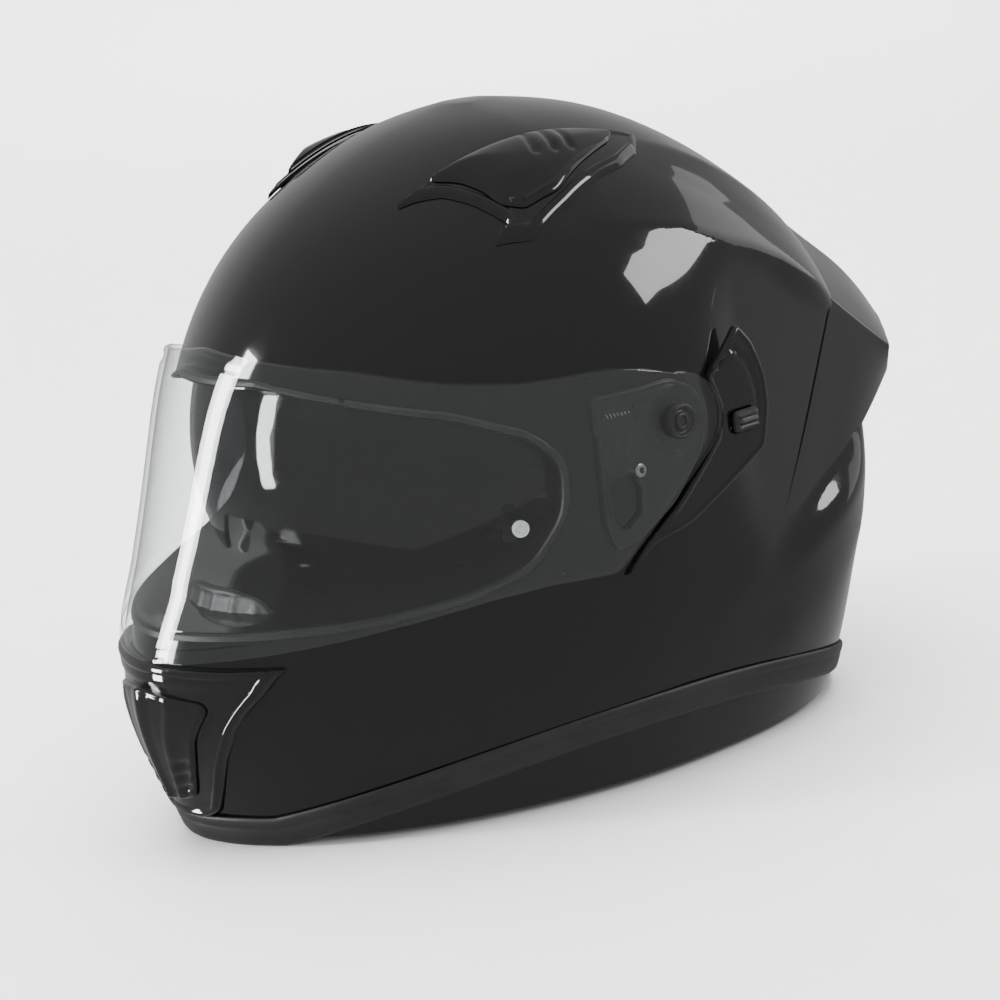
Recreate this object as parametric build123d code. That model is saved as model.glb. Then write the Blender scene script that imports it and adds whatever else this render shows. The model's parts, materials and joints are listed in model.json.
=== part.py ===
from build123d import *
import os
from functools import lru_cache
from math import copysign, cos, pi, radians, sin

os.makedirs("parts", exist_ok=True)

# Full-face motorcycle helmet, millimetres. +Z up, the face looks along -Y, the rider's left is +X.
# The helmet stands on its rim on the plane Z = 0 and is symmetric about X = 0.

# ---------------------------------------------------------------- driving dimensions
# Outer form: height, half width, reach to the front and to the rear of Y = WAIST_Y, rear fullness.
STATIONS = [
    (0, 105, 167, 123, 2.6),
    (28, 113, 175, 124, 3.0),
    (66, 119.5, 180, 129, 3.3),
    (104, 121.5, 166, 137, 3.4),
    (143, 123, 149, 138, 3.0),
    (182, 118, 132, 131, 2.6),
    (214, 102, 109, 110, 2.3),
    (240, 75, 75, 80, 2.2),
    (256, 44, 39, 49, 2.1),
    (264, 9, 6, 13, 2.0),
]
ORIGIN_SHIFT = 4.5  # puts the origin under the middle of the helmet's length
WAIST_Y = 4
FRONT_POWER = 1.8
RING_POINTS = 24
HEIGHT = STATIONS[-1][0]
WIDEST = 123
DOME_Z = 104

SHELL_WALL = 4.0
EPS_OUTER = 4.6
EPS_INNER = 32.0
CHIN_EPS_INNER = 22.0
PAD_OUTER = 32.4
CHEEK_INNER = 52.0
CROWN_INNER = 40.0
FAR = 240
BOND_GAP = 0.3

ARCH_RADIUS = 382
ARCH_TOP = 25
ARCH_Y = -14
TRIM_HEIGHT = 12
TRIM_PROUD = 2.2
TRIM_DEPTH = 7.0
LINER_LIFT = 16

# Face opening in side view (Y, Z), cut straight across.
PORT = [(-205, 87), (-120, 91), (-88, 95), (-66, 102), (-52, 119), (-50, 138),
        (-60, 149), (-82, 159), (-125, 176), (-205, 176)]
PORT_CORNER = 6
GASKET_WIDTH = 4.0
GASKET_PROUD = 1.2
GASKET_DEPTH = 5.0

# Clear visor
VISOR_PIVOT_Y = -3
VISOR_PIVOT_Z = 145
VISOR_GAP = 3.0
VISOR_WALL = 2.2
VISOR_FLARE = 3.0
VISOR_LOBE = 19
VISOR_TOP = [(-215, 191), (-129, 191), (-106, 181), (-83, 173.5), (-60, 170.5), (-30, 171), (-14, 167)]
VISOR_BOTTOM = [(-26, 99), (-35, 92), (-47, 92.5), (-61, 93), (-83, 91.5), (-111, 87.5), (-147, 82),
                (-178, 77), (-215, 73)]
HUB_RADIUS = 7.0
HUB_CLEARANCE = 0.06
PLATE_OUTER = 2.2
PLATE_DEPTH = 2.5
PLATE = [(-36, 160), (-37, 112), (-33, 99), (-23, 102), (-6, 113), (9, 131), (13, 145), (8, 156), (-2, 161)]

# Trim plate behind the visor's end, with the slot of the sun visor's slider
EAR = [(35, 174), (41, 166), (45, 152), (45, 140), (41, 124), (17, 111), (1, 103), (-17, 99), (-27, 91),
       (-31, 88.5), (-21, 100), (-5, 112.5), (10, 127), (16.5, 134), (18.5, 145), (15, 157)]
EAR_THICK = 3.0
SLIDER_TRAVEL = 20
SLIDER_Y = 31
SLIDER_Z = 137

# Sun visor: part of an ellipsoid turned about its own cross axis
SUN_Y = -25
SUN_Z = 135
SUN_HALF_WIDTH = 107
SUN_RADIUS = 101
SUN_WALL = 2.0
SUN_GAP = 0.7
SUN_LOW = -19.5
SUN_HIGH = 30
SUN_EAR = 10
SUN_PIN = 3.0
SUN_PIVOT_LAND = 7

# Straps and buckle
STRAP_WIDTH = 22
STRAP_THICK = 2.0
STRAP_Y = -14
STRAP_SHELF_Z = 38.2
STRAP_DROP_X = 66


# ---------------------------------------------------------------- form helpers
def ring(z, half_width, front, rear, rear_power):
    points = []
    for i in range(RING_POINTS):
        a = 2 * pi * i / RING_POINTS
        s, c = sin(a), cos(a)
        n = FRONT_POWER if c > 0 else rear_power
        reach = -front if c > 0 else rear
        points.append((half_width * copysign(abs(s) ** (2 / n), s), WAIST_Y + reach * abs(c) ** (2 / n), z))
    return make_face(Spline(*points, periodic=True))


@lru_cache(maxsize=None)
def form(inset=0.0, flare=0.0):
    """The helmet's outer form, moved in by inset (out if negative); flare widens its upper half."""
    sections = []
    for z, half_width, front, rear, power in STATIONS:
        rise = max(z - DOME_Z, 0) / (HEIGHT - DOME_Z)
        widen = flare * min(rise * 2, 1)
        k = 1 - inset / WIDEST
        sections.append(ring(z - inset * rise, half_width * k + widen * half_width / WIDEST,
                             front * (1 - (inset - widen) / 160), rear * (1 - inset / 137), power))
    return loft(sections)


def skin(outer, inner):
    return form(outer) - form(inner)


def side_prism(outline, x_low=-FAR, x_high=FAR, corner=0.0, grow=0.0):
    face = make_face(Polyline(*outline, close=True))
    if corner:
        face = fillet(face.vertices(), corner)
    if grow:
        face = offset(face, amount=grow)
    return Pos(x_low, 0, 0) * extrude(Plane.YZ * face, x_high - x_low, dir=(1, 0, 0))


def plan_prism(outline, z_low, z_high):
    return Pos(0, 0, z_low) * extrude(make_face(Polyline(*outline, close=True)), z_high - z_low, dir=(0, 0, 1))


def front_prism(outline, y_low, y_high):
    face = Plane.XZ * make_face(Polyline(*outline, close=True))
    return Pos(0, y_high, 0) * extrude(face, y_high - y_low, dir=(0, -1, 0))


def block(x, y, z):
    """A box between (low, high) pairs along each axis."""
    size = [b - a for a, b in (x, y, z)]
    middle = [(a + b) / 2 for a, b in (x, y, z)]
    return Pos(*middle) * Box(*size)


def cross_cylinder(radius, y, z, x_low=-FAR, x_high=FAR):
    return Pos((x_low + x_high) / 2, y, z) * Rot(0, 90, 0) * Cylinder(radius, x_high - x_low)


def below_arch(lift):
    """Everything under the rim's arch raised by lift."""
    arch = cross_cylinder(ARCH_RADIUS + lift, ARCH_Y, ARCH_TOP - ARCH_RADIUS)
    return arch + block((-FAR, FAR), (-FAR, FAR), (-FAR, lift)) if lift > 0 else arch


def mirrored(shape):
    return mirror(shape, about=Plane.YZ)


nodes = {}


def keep(name, shape):
    nodes[name] = Pos(0, ORIGIN_SHIFT, 0) * shape


def keep_pair(name, left):
    keep(name + "_left", left)
    keep(name + "_right", mirrored(left))


# ---------------------------------------------------------------- shared cutters
port = side_prism(PORT, corner=PORT_CORNER)
port_inner = side_prism(PORT, corner=PORT_CORNER, grow=-GASKET_WIDTH)
outer = form()

# ---------------------------------------------------------------- outer shell and what is bonded to it
plate_pocket = side_prism(PLATE, 60, FAR, corner=3, grow=0.4) - form(PLATE_DEPTH + 0.1)
slider_slot = block((100, FAR), (SLIDER_Y - 3, SLIDER_Y + 3), (SLIDER_Z - 4, SLIDER_Z + SLIDER_TRAVEL + 4))
shell = outer - form(SHELL_WALL) - port - below_arch(3)
shell = shell - plate_pocket - mirrored(plate_pocket) - slider_slot
keep("outer_shell", shell)

trim_band = (form(-TRIM_PROUD) - form(TRIM_DEPTH)) & below_arch(TRIM_HEIGHT)
trim_slot = form(-BOND_GAP) - form(SHELL_WALL + BOND_GAP) - below_arch(3 - BOND_GAP)
keep("rim_trim", trim_band - below_arch(0) - trim_slot)

keep("eyeport_gasket", (skin(-GASKET_PROUD, GASKET_DEPTH) & port) - port_inner)

# Rear spoiler: crown ridge, shoulder ridge and lower edge at four places along the tail.
SPOILER = [
    (75, (70, 212), (99, 186), (104, 100)),
    (112, (66, 197), (93, 165), (93, 101)),
    (150, (60, 168), (83, 138), (78, 126)),
    (173, (54, 147), (58, 138), (50, 131)),
]
SPOILER_WALL = 3.0


def wing(inset):
    sections = []
    for y, crown, shoulder, lower in SPOILER:
        half = [(crown[0] - inset, crown[1] - inset), (shoulder[0] - inset, shoulder[1] - inset / 2),
                (lower[0] - inset, lower[1] + inset)]
        outline = half + [(-x, z) for x, z in reversed(half)]
        y = min(y, SPOILER[-1][0] - 2 * inset)
        sections.append(make_face(Polyline(*[(x, y, z) for x, z in outline], close=True)))
    return loft(sections, ruled=True)


seat = form(-BOND_GAP)
spoiler = wing(0) - wing(SPOILER_WALL) - seat
exhaust_seat = Pos(0, 146, 172) * Rot(-42, 0, 0) * Box(64, 26, 16)
keep("rear_spoiler", max((spoiler - exhaust_seat).solids(), key=lambda s: s.volume))
louvres = Pos(0, 146, 172) * Rot(-42, 0, 0) * Box(63, 25, 8)
for i in range(4):
    louvres -= Pos(0, 146, 172) * Rot(-42, 0, 0) * Pos(0, -8 + 5.2 * i, 2) * Box(54, 3, 8)
keep("rear_exhaust_grille", louvres - seat)

# ---------------------------------------------------------------- top vents
VENT_BASE = [(46, -64), (48, -50), (52, -30), (56, -4), (59, 14), (61, 28), (64, 43), (73, 35), (79.5, 22),
             (88, -13), (90, -26), (90, -33), (83, -47), (82.5, -37), (57, -49)]
SCOOP = [(49, -48), (53, -28), (57, -4), (60.5, 14), (64, 31), (70, 24), (74, 14), (84.5, -14), (82, -33),
         (76, -36)]
VENT_BASE_THICK = 2.4
SCOOP_GAP = 1.2
SCOOP_HIGH = 9.0
vent_base = plan_prism(VENT_BASE, 190, 300) & skin(-VENT_BASE_THICK, -BOND_GAP)
keep_pair("top_vent_base", vent_base)

scoop_skin = skin(-SCOOP_HIGH, -VENT_BASE_THICK - SCOOP_GAP)
scoop = plan_prism(SCOOP, 190, 300) & scoop_skin
falling_back = Pos(66, 60, 251) * Rot(-9, 8, 0) * Pos(0, 0, 10) * Box(200, 200, 20)
mouth = plan_prism([(40, -70), (51, -26), (80, -16), (100, -30)], 190, 300) & skin(-6.6, 0.0)
scoop = max((scoop - falling_back - mouth).solids(), key=lambda s: s.volume)
keep_pair("top_vent_slider", scoop)

# ---------------------------------------------------------------- chin vent
CHIN_BASE = [(0, 76), (57, 75), (43, 58), (35, 45), (30, 37), (24, 24), (19, 15), (12, 12)]
CHIN_SHUTTER = [(0, 68), (30, 63), (31, 60), (23, 48), (20, 39), (13, 22), (6, 20)]


def both_sides(half):
    return half + [(-x, z) for x, z in reversed(half) if x > 0]


chin_outline = front_prism(both_sides(CHIN_BASE), -FAR, -100)
shutter_outline = front_prism(both_sides(CHIN_SHUTTER), -FAR, -100)
shutter_room = front_prism([(x * 1.2, 44 + (z - 44) * 1.3) for x, z in both_sides(CHIN_SHUTTER)], -FAR, -100)
chin_base = (chin_outline & skin(-4.6, -BOND_GAP)) - (shutter_room & skin(-9, -1.2))
keep("chin_vent_base", chin_base)
keep("chin_vent_shutter", shutter_outline & skin(-4.4, -2.2))

# ---------------------------------------------------------------- energy-absorbing liners
sun_zone = side_prism([(-210, 60), (-13, 60), (-13, 155), (-58, 291), (-210, 291)])


def half_ellipse(inset):
    arc = EllipticalCenterArc((0, 0), SUN_HALF_WIDTH - inset, SUN_RADIUS - inset, start_angle=0, arc_size=180)
    return make_face(arc + Line(arc @ 1, arc @ 0))


def sun_body(inset):
    """The ellipsoid that the sun visor is part of, moved in by inset."""
    return Pos(0, SUN_Y, SUN_Z) * revolve(half_ellipse(inset), axis=Axis.X, revolution_arc=360)


sun_room = sun_zone - sun_body(SUN_WALL + SUN_GAP)
strap_pocket = block((103.5, FAR), (STRAP_Y - 13, STRAP_Y + 13), (0, 66))
eps = form(EPS_OUTER) - form(EPS_INNER) - port - below_arch(LINER_LIFT) - sun_room
pivot_room = cross_cylinder(SUN_EAR + 3, SUN_Y, SUN_Z, SUN_HALF_WIDTH - SUN_WALL - 1.6, FAR)
for pocket in (strap_pocket, pivot_room):
    eps = eps - pocket - mirrored(pocket)
eps -= block((-FAR, FAR), (-FAR, -75), (0, 100))
eps = max(eps.solids(), key=lambda s: s.volume)
keep("eps_liner", eps)
chin_eps = (form(EPS_OUTER) - form(CHIN_EPS_INNER)) & block((-FAR, FAR), (-FAR, -75.6), (0, 84))
keep("eps_chin_liner", max((chin_eps - port - below_arch(LINER_LIFT)).solids(), key=lambda s: s.volume))

# ---------------------------------------------------------------- comfort parts
crown = (form(PAD_OUTER) - form(CROWN_INNER)) - side_prism([(-210, 0), (210, 0), (210, 138), (-50, 138),
                                                           (-70, 158), (-110, 180), (-210, 180)])
keep("crown_liner", crown)
cheek_side = side_prism([(-96, 30), (44, 30), (44, 120), (-38, 130), (-56, 108), (-74, 97), (-96, 91)],
                        20, FAR)
cheek = (form(PAD_OUTER) - form(CHEEK_INNER)) & cheek_side
keep_pair("cheek_pad", cheek - below_arch(LINER_LIFT + 1.5))
neck_zone = block((-FAR, FAR), (34, FAR), (0, 60))
keep("neck_roll", ((form(TRIM_DEPTH + 0.6) - form(36)) & neck_zone & below_arch(LINER_LIFT - 0.5))
     - below_arch(1.5))
guard = front_prism([(-46, 62), (-44, 92), (-22, 100), (-16, 96), (16, 96), (22, 100), (44, 92), (46, 62)],
                    -FAR, -90)
keep("breath_guard", (form(CHIN_EPS_INNER + 0.4) - form(CHIN_EPS_INNER + 3)) & guard)
curtain_zone = block((-FAR, FAR), (-FAR, -98), (0, 60))
curtain = (form(5) - form(40)) & curtain_zone & (below_arch(LINER_LIFT - 0.5) - below_arch(LINER_LIFT - 2.5))
keep("chin_curtain", curtain)

# ---------------------------------------------------------------- visor mechanism
base_plate = side_prism(PLATE, 60, FAR, corner=3) & skin(-PLATE_OUTER, PLATE_DEPTH)
LATCH_Z = 152
latch_frame = Pos(120.9, -21, LATCH_Z) * Rot(0, 0, -9.5)
latch_pocket = latch_frame * block((-1.7, 20), (-12, 12), (-4, 4))
window = side_prism([(-31, 110), (-31, 124), (-20, 124), (-20, 116), (-26, 108)], 122.2, FAR)
screw_spots = [(-20, 129), (-2, 125)]
base_plate = base_plate - latch_pocket - window
for y, z in screw_spots:
    base_plate -= cross_cylinder(1.6, y, z, 100, FAR)
    base_plate -= cross_cylinder(3.1, y, z, 121.4, FAR)
hub = cross_cylinder(HUB_RADIUS, VISOR_PIVOT_Y, VISOR_PIVOT_Z, 121, 130.5)
hub -= cross_cylinder(3.4, VISOR_PIVOT_Y, VISOR_PIVOT_Z, 128.6, FAR)
base_plate -= cross_cylinder(HUB_RADIUS, VISOR_PIVOT_Y, VISOR_PIVOT_Z, 121, FAR)
keep_pair("base_plate", base_plate)
keep_pair("visor_hub", hub)
screws = []
for y, z in screw_spots:
    screw = cross_cylinder(1.5, y, z, 120.4, 121.5) + cross_cylinder(2.9, y, z, 121.5, 122.7)
    screw -= cross_cylinder(1.2, y, z, 122.2, FAR)
    screws += [screw, mirrored(screw)]
keep("base_plate_screws", Compound(screws))
latch = block((-1.4, 1.3), (1, 9), (-3.6, 3.6)) + block((-0.6, 0.6), (-1.5, 1), (-0.6, 0.6))
keep_pair("visor_latch", latch_frame * latch)
spring = Pos(0, -5.5, 0) * Rot(90, 0, 0) * (Cylinder(1.4, 12.6) - Cylinder(0.9, 12.6))
keep_pair("latch_spring", latch_frame * spring)

lobe = [(VISOR_PIVOT_Y + VISOR_LOBE * cos(radians(a)), VISOR_PIVOT_Z + VISOR_LOBE * sin(radians(a)))
        for a in range(78, -46, -12)]
visor_outline = VISOR_TOP + lobe + VISOR_BOTTOM
visor = (form(-VISOR_GAP - VISOR_WALL, VISOR_FLARE) - form(-VISOR_GAP, VISOR_FLARE)) & side_prism(visor_outline)
visor -= cross_cylinder(HUB_RADIUS + HUB_CLEARANCE, VISOR_PIVOT_Y, VISOR_PIVOT_Z)
PIN_X, PIN_Y, PIN_Z = 111.5, -69, 116.5
pin_axis = Plane(origin=(PIN_X, PIN_Y, PIN_Z), z_dir=(0.78, -0.62, 0))
PIN_NECK = 2.0
visor_pins = []
pin_tool = pin_axis * Pos(0, 0, 4) * Cylinder(PIN_NECK, 20)
visor = visor - pin_tool - mirrored(pin_tool)
keep("clear_visor", visor)
near_visor = form(-VISOR_GAP, VISOR_FLARE)
far_visor = form(-VISOR_GAP - VISOR_WALL, VISOR_FLARE)
pin_head = (pin_axis * Cylinder(3.4, 40)) & (far_visor - near_visor)
pin = (pin_axis * Pos(0, 0, 4) * Cylinder(3.4, 16)) & (form(-VISOR_GAP - VISOR_WALL - 1.2, VISOR_FLARE) - far_visor)
stem = (pin_axis * Pos(0, 0, 4) * Cylinder(PIN_NECK, 16)) & (far_visor - form(-VISOR_GAP + 1.6, VISOR_FLARE))
pinlock = pin + stem
keep("pinlock_pins", Compound([pinlock, mirrored(pinlock)]))

# ---------------------------------------------------------------- side trim and slider
ear = side_prism(EAR, 60, FAR) & skin(-EAR_THICK, -BOND_GAP)
keep("side_trim_right", mirrored(ear))
keep("side_trim_left", ear - slider_slot)
knob = block((126.7, 130), (SLIDER_Y - 7, SLIDER_Y + 7), (SLIDER_Z - 4.5, SLIDER_Z + 4.5))
knob = fillet(knob.edges().filter_by(Axis.X), 1.5)
knob += block((118.7, 127), (SLIDER_Y - 2.6, SLIDER_Y + 2.6), (SLIDER_Z - 3.5, SLIDER_Z + 3.5))
keep("sun_visor_slider", knob)

# ---------------------------------------------------------------- sun visor
profile = half_ellipse(0) - half_ellipse(SUN_WALL) - Rectangle(400, 2 * SUN_PIVOT_LAND)
lens = Pos(0, SUN_Y, SUN_Z) * Rot(180 - SUN_HIGH, 0, 0) * revolve(profile, axis=Axis.X,
                                                                 revolution_arc=SUN_HIGH - SUN_LOW)
nose = front_prism([(-36, 80), (-30, 100), (-13, 121), (13, 121), (30, 100), (36, 80)], -FAR, SUN_Y)
sun = lens - nose
sun_ear = cross_cylinder(SUN_EAR, SUN_Y, SUN_Z, SUN_HALF_WIDTH - SUN_WALL - 0.6, SUN_HALF_WIDTH - 0.5)
sun = sun + sun_ear + mirrored(sun_ear) - cross_cylinder(SUN_PIN + 0.05, SUN_Y, SUN_Z)
keep("sun_visor", sun)
pivot_plate = block((109, 114), (SUN_Y - 11, SUN_Y + 11), (SUN_Z - 10, SUN_Z + 10)) & form(EPS_OUTER + 0.6)
pivot_plate += cross_cylinder(SUN_PIN, SUN_Y, SUN_Z, SUN_HALF_WIDTH - SUN_WALL - 0.4, 110)
keep_pair("sun_visor_pivot", pivot_plate)

# ---------------------------------------------------------------- retention straps and buckle
strap_y = (STRAP_Y - STRAP_WIDTH / 2, STRAP_Y + STRAP_WIDTH / 2)
anchor = block((108.4, 109.9), (STRAP_Y - 12, STRAP_Y + 12), (46, 64))
riser = block((106.2, 108.2), strap_y, (STRAP_SHELF_Z, 60))
shelf = block((STRAP_DROP_X, 108.2), strap_y, (STRAP_SHELF_Z, STRAP_SHELF_Z + STRAP_THICK))
drop = block((STRAP_DROP_X, STRAP_DROP_X + STRAP_THICK), strap_y, (2, STRAP_SHELF_Z + STRAP_THICK))
STRAP_END_X = 34
floor_run = block((STRAP_END_X, STRAP_DROP_X + STRAP_THICK), strap_y, (2, 2 + STRAP_THICK))
strap = riser + shelf + drop + floor_run
keep_pair("strap", strap)
keep_pair("strap_anchor", anchor)
rivets = []
for y in (STRAP_Y - 6, STRAP_Y + 6):
    rivet = cross_cylinder(2.4, y, 55, 104.6, 106.2)
    rivets += [rivet, mirrored(rivet)]
keep("strap_rivets", Compound(rivets))
pad = block((STRAP_DROP_X - 3, STRAP_DROP_X - 0.3), (STRAP_Y - 15, STRAP_Y + 15), (8, 34))
pad += block((STRAP_DROP_X + STRAP_THICK + 0.3, STRAP_DROP_X + 5), (STRAP_Y - 15, STRAP_Y + 15), (8, 34))
for y in ((STRAP_Y - 15, STRAP_Y - 11.3), (STRAP_Y + 11.3, STRAP_Y + 15)):
    pad += block((STRAP_DROP_X - 3, STRAP_DROP_X + 5), y, (8, 34))
keep_pair("strap_pad", pad)

BUCKLE_X = (6, 38)
BUCKLE_Z = (1.2, 11)
body_y = (STRAP_Y - 13, STRAP_Y + 13)
housing = block(BUCKLE_X, body_y, BUCKLE_Z)
housing -= block((BUCKLE_X[0] - 1, BUCKLE_X[1] - 5), (STRAP_Y - 10, STRAP_Y + 10), (2.6, 20))
housing -= block((30, 50), (STRAP_Y - STRAP_WIDTH / 2 - 0.2, STRAP_Y + STRAP_WIDTH / 2 + 0.2), (1.8, 4.2))
LEVER_X, LEVER_Z, LEVER_PIN = 27, 8.2, 1.5


def y_cylinder(radius, x, z, y):
    return Pos(x, (y[0] + y[1]) / 2, z) * Rot(90, 0, 0) * Cylinder(radius, y[1] - y[0])


housing -= y_cylinder(LEVER_PIN, LEVER_X, LEVER_Z, body_y)
keep("buckle_housing", housing)
keep("buckle_pin", y_cylinder(LEVER_PIN, LEVER_X, LEVER_Z, body_y))
lever_y = (STRAP_Y - 9.6, STRAP_Y + 9.6)
lever = block((4, LEVER_X), lever_y, (7.4, 10.4)) + y_cylinder(3.2, LEVER_X, LEVER_Z, lever_y)
lever += block((12, 15), lever_y, (5.6, 7.6))
keep("buckle_lever", lever - y_cylinder(LEVER_PIN + 0.05, LEVER_X, LEVER_Z, body_y))
TONGUE_X = (-34, 0)
tongue_y = (STRAP_Y - 8, STRAP_Y + 8)
tongue = block((-36.5, -2), tongue_y, (4.3, 6.3))
for i in range(8):
    x = -22 + 2.4 * i
    tooth = Plane.XZ * make_face(Polyline((x, 6.2), (x + 2, 6.2), (x, 7.6), close=True))
    tongue += Pos(0, tongue_y[1] - 1, 0) * extrude(tooth, 14)
tongue -= block((-33, -28), (STRAP_Y - 6, STRAP_Y + 6), (0, 20))
keep("buckle_tongue", tongue)

# ---------------------------------------------------------------- write
for name, shape in nodes.items():
    export_step(shape, f"parts/{name}.step")
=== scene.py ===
# %% [markdown]
# # A full-face motorcycle helmet
# The helmet's mechanical model is already packed: every body, joint and node is loaded as a fixed frame.
# This lesson dresses that frame. The big glossy surfaces are rebuilt from the same form that the frame
# uses, so that new pieces sit exactly where the frame says.

# %% Load the frame
import json
from math import cos, pi, radians, sin

import bmesh
import bpy
import numpy as np
from mathutils import Matrix, Vector
from mathutils.geometry import delaunay_2d_cdt


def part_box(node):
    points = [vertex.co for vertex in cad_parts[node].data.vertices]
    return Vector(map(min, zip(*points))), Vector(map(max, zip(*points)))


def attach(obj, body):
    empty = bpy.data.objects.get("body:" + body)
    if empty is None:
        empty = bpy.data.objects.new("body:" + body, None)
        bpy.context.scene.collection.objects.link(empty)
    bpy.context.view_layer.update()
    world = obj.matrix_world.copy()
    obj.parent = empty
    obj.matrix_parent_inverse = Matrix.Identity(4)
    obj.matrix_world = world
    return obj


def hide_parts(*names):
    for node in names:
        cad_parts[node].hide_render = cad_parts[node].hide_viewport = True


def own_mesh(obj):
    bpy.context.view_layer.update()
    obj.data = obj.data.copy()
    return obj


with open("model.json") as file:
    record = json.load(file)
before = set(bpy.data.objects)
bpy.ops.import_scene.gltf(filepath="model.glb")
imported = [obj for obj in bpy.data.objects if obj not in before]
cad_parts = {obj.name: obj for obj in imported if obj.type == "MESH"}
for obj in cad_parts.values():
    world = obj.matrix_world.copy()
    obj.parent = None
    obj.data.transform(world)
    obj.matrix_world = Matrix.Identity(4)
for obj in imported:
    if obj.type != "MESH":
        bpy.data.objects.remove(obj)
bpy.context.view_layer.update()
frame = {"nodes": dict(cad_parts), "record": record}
MM = 0.001
for plain in list(bpy.data.materials):
    bpy.data.materials.remove(plain)

# %% [markdown]
# ## The outer form
# A moulded shell is drawn as level rings: each has a half width, a reach to the front, a reach to the rear
# and a fullness. A smooth curve through the rings' numbers gives a ring at any height. Moving the form out
# or in by some millimetres gives the seat of every plate, liner and visor, so nothing needs fitting by eye.

# %% The form's rings
# height, half width, front reach, rear reach, rear fullness (millimetres)
STATIONS = np.array([
    (0, 105, 167, 123, 2.6), (28, 113, 175, 124, 3.0), (66, 119.5, 180, 129, 3.3),
    (104, 121.5, 166, 137, 3.4), (143, 123, 149, 138, 3.0), (182, 118, 132, 131, 2.6),
    (214, 102, 109, 110, 2.3), (240, 75, 75, 80, 2.2), (256, 44, 39, 49, 2.1), (264, 9, 6, 13, 2.0)], float)
WAIST_Y, FRONT_POWER, WIDEST, DOME_Z, HEIGHT = 4.0, 1.8, 123.0, 104.0, 264.0
FRONT_REACH, REAR_REACH = 160.0, 137.0  # reaches that moving out or in is measured against
FORM_MIDDLE = np.array([0, WAIST_Y, 110])
CENTRING = 4.5  # the drawing moves back by this, so that the frame's origin is under the helmet's middle


def smooth_through(knots, values, at):
    """A natural cubic curve through values at knots."""
    h = np.diff(knots)
    n = len(knots)
    system, right = np.eye(n), np.zeros((n, values.shape[1]))
    for i in range(1, n - 1):
        system[i, i - 1:i + 2] = h[i - 1], 2 * (h[i - 1] + h[i]), h[i]
        right[i] = 3 * ((values[i + 1] - values[i]) / h[i] - (values[i] - values[i - 1]) / h[i - 1])
    bend = np.linalg.solve(system, right)
    i = np.clip(np.searchsorted(knots, at, side="right") - 1, 0, n - 2)
    t, step = (at - knots[i])[:, None], h[i][:, None]
    slope = (values[i + 1] - values[i]) / step - step * (2 * bend[i] + bend[i + 1]) / 3
    return values[i] + slope * t + bend[i] * t ** 2 + (bend[i + 1] - bend[i]) / (3 * step) * t ** 3


rise, spread = np.diff(STATIONS[:, 0]), np.diff(STATIONS[:, 1])
knots = np.concatenate([[0], np.cumsum(np.hypot(rise, spread))])
profile = smooth_through(knots, STATIONS, np.linspace(0, knots[-1], 900))
profile[:, 0] = np.maximum.accumulate(profile[:, 0])
print("profile length", round(knots[-1]), "mm")

# %% [markdown]
# ## Finding a place on the form
# A plate on the side is drawn in side view, a vent in plan, the chin in front view. Each helper answers one
# question: at this place in the drawing, how far out is the form?

# %% Where is the surface?
def ring_at(z, out=0.0, flare=0.0):
    """Half width, front reach, rear reach and rear fullness of the form, moved out, at height z."""
    z = np.asarray(z, float)
    grow = out / (HEIGHT - DOME_Z)
    source = np.where(z > DOME_Z, (z + grow * DOME_Z) / (1 + grow), z)
    w, f, r, n = (np.interp(source, profile[:, 0], profile[:, k]) for k in (1, 2, 3, 4))
    widen = flare * np.clip(np.maximum(source - DOME_Z, 0) / (HEIGHT - DOME_Z) * 2, 0, 1)
    width = w * (1 + out / WIDEST) + widen * w / WIDEST
    return width, f * (1 + (out + widen) / FRONT_REACH), r * (1 + out / REAR_REACH), n


def side_x(y, z, out=0.0, flare=0.0):
    """Half width of the form at a place in side view."""
    w, f, r, n = ring_at(z, out, flare)
    y = np.asarray(y, float) - WAIST_Y
    reach, power = np.where(y < 0, f, r), np.where(y < 0, FRONT_POWER, n)
    return w * np.maximum(1 - (np.abs(y) / reach) ** power, 0) ** (1 / power)


def turn_point(angle, z, out=0.0, flare=0.0):
    """The point at a compass angle (0 ahead, +90 on the rider's left) and height z."""
    w, f, r, n = ring_at(z, out, flare)
    s, c = np.sin(angle), np.cos(angle)
    reach, power = np.where(c > 0, f, r), np.where(c > 0, FRONT_POWER, n)
    radius = ((np.abs(s) / w) ** power + (np.abs(c) / reach) ** power) ** (-1 / power)
    return np.stack([radius * s, WAIST_Y - radius * c, np.broadcast_to(z, radius.shape)], -1)


def top_z(x, y, out=0.0):
    """Height of the crown above a place in plan, found by halving."""
    low, high = np.full(np.shape(x), DOME_Z), np.full(np.shape(x), HEIGHT + out)
    for _ in range(26):
        middle = (low + high) / 2
        under = side_x(y, middle, out) > np.abs(x)
        low, high = np.where(under, middle, low), np.where(under, high, middle)
    return low


def front_y(x, z, out=0.0):
    """How far forward the form reaches at a place in front view."""
    w, f, _, _ = ring_at(z, out)
    return WAIST_Y - f * np.maximum(1 - (np.abs(x) / w) ** FRONT_POWER, 0) ** (1 / FRONT_POWER)


def on_side(p, out):
    return np.stack([side_x(p[:, 0], p[:, 1], out), p[:, 0], p[:, 1]], -1)


def on_top(p, out):
    return np.stack([p[:, 0], p[:, 1], top_z(p[:, 0], p[:, 1], out)], -1)


def on_front(p, out):
    return np.stack([p[:, 0], front_y(p[:, 0], p[:, 1], out), p[:, 1]], -1)


UNROLL = 130.0  # millimetres of drawing for each radian round the form


def on_turn(p, out, flare=0.0):
    return turn_point(p[:, 0] / UNROLL, p[:, 1], out, flare)


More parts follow.
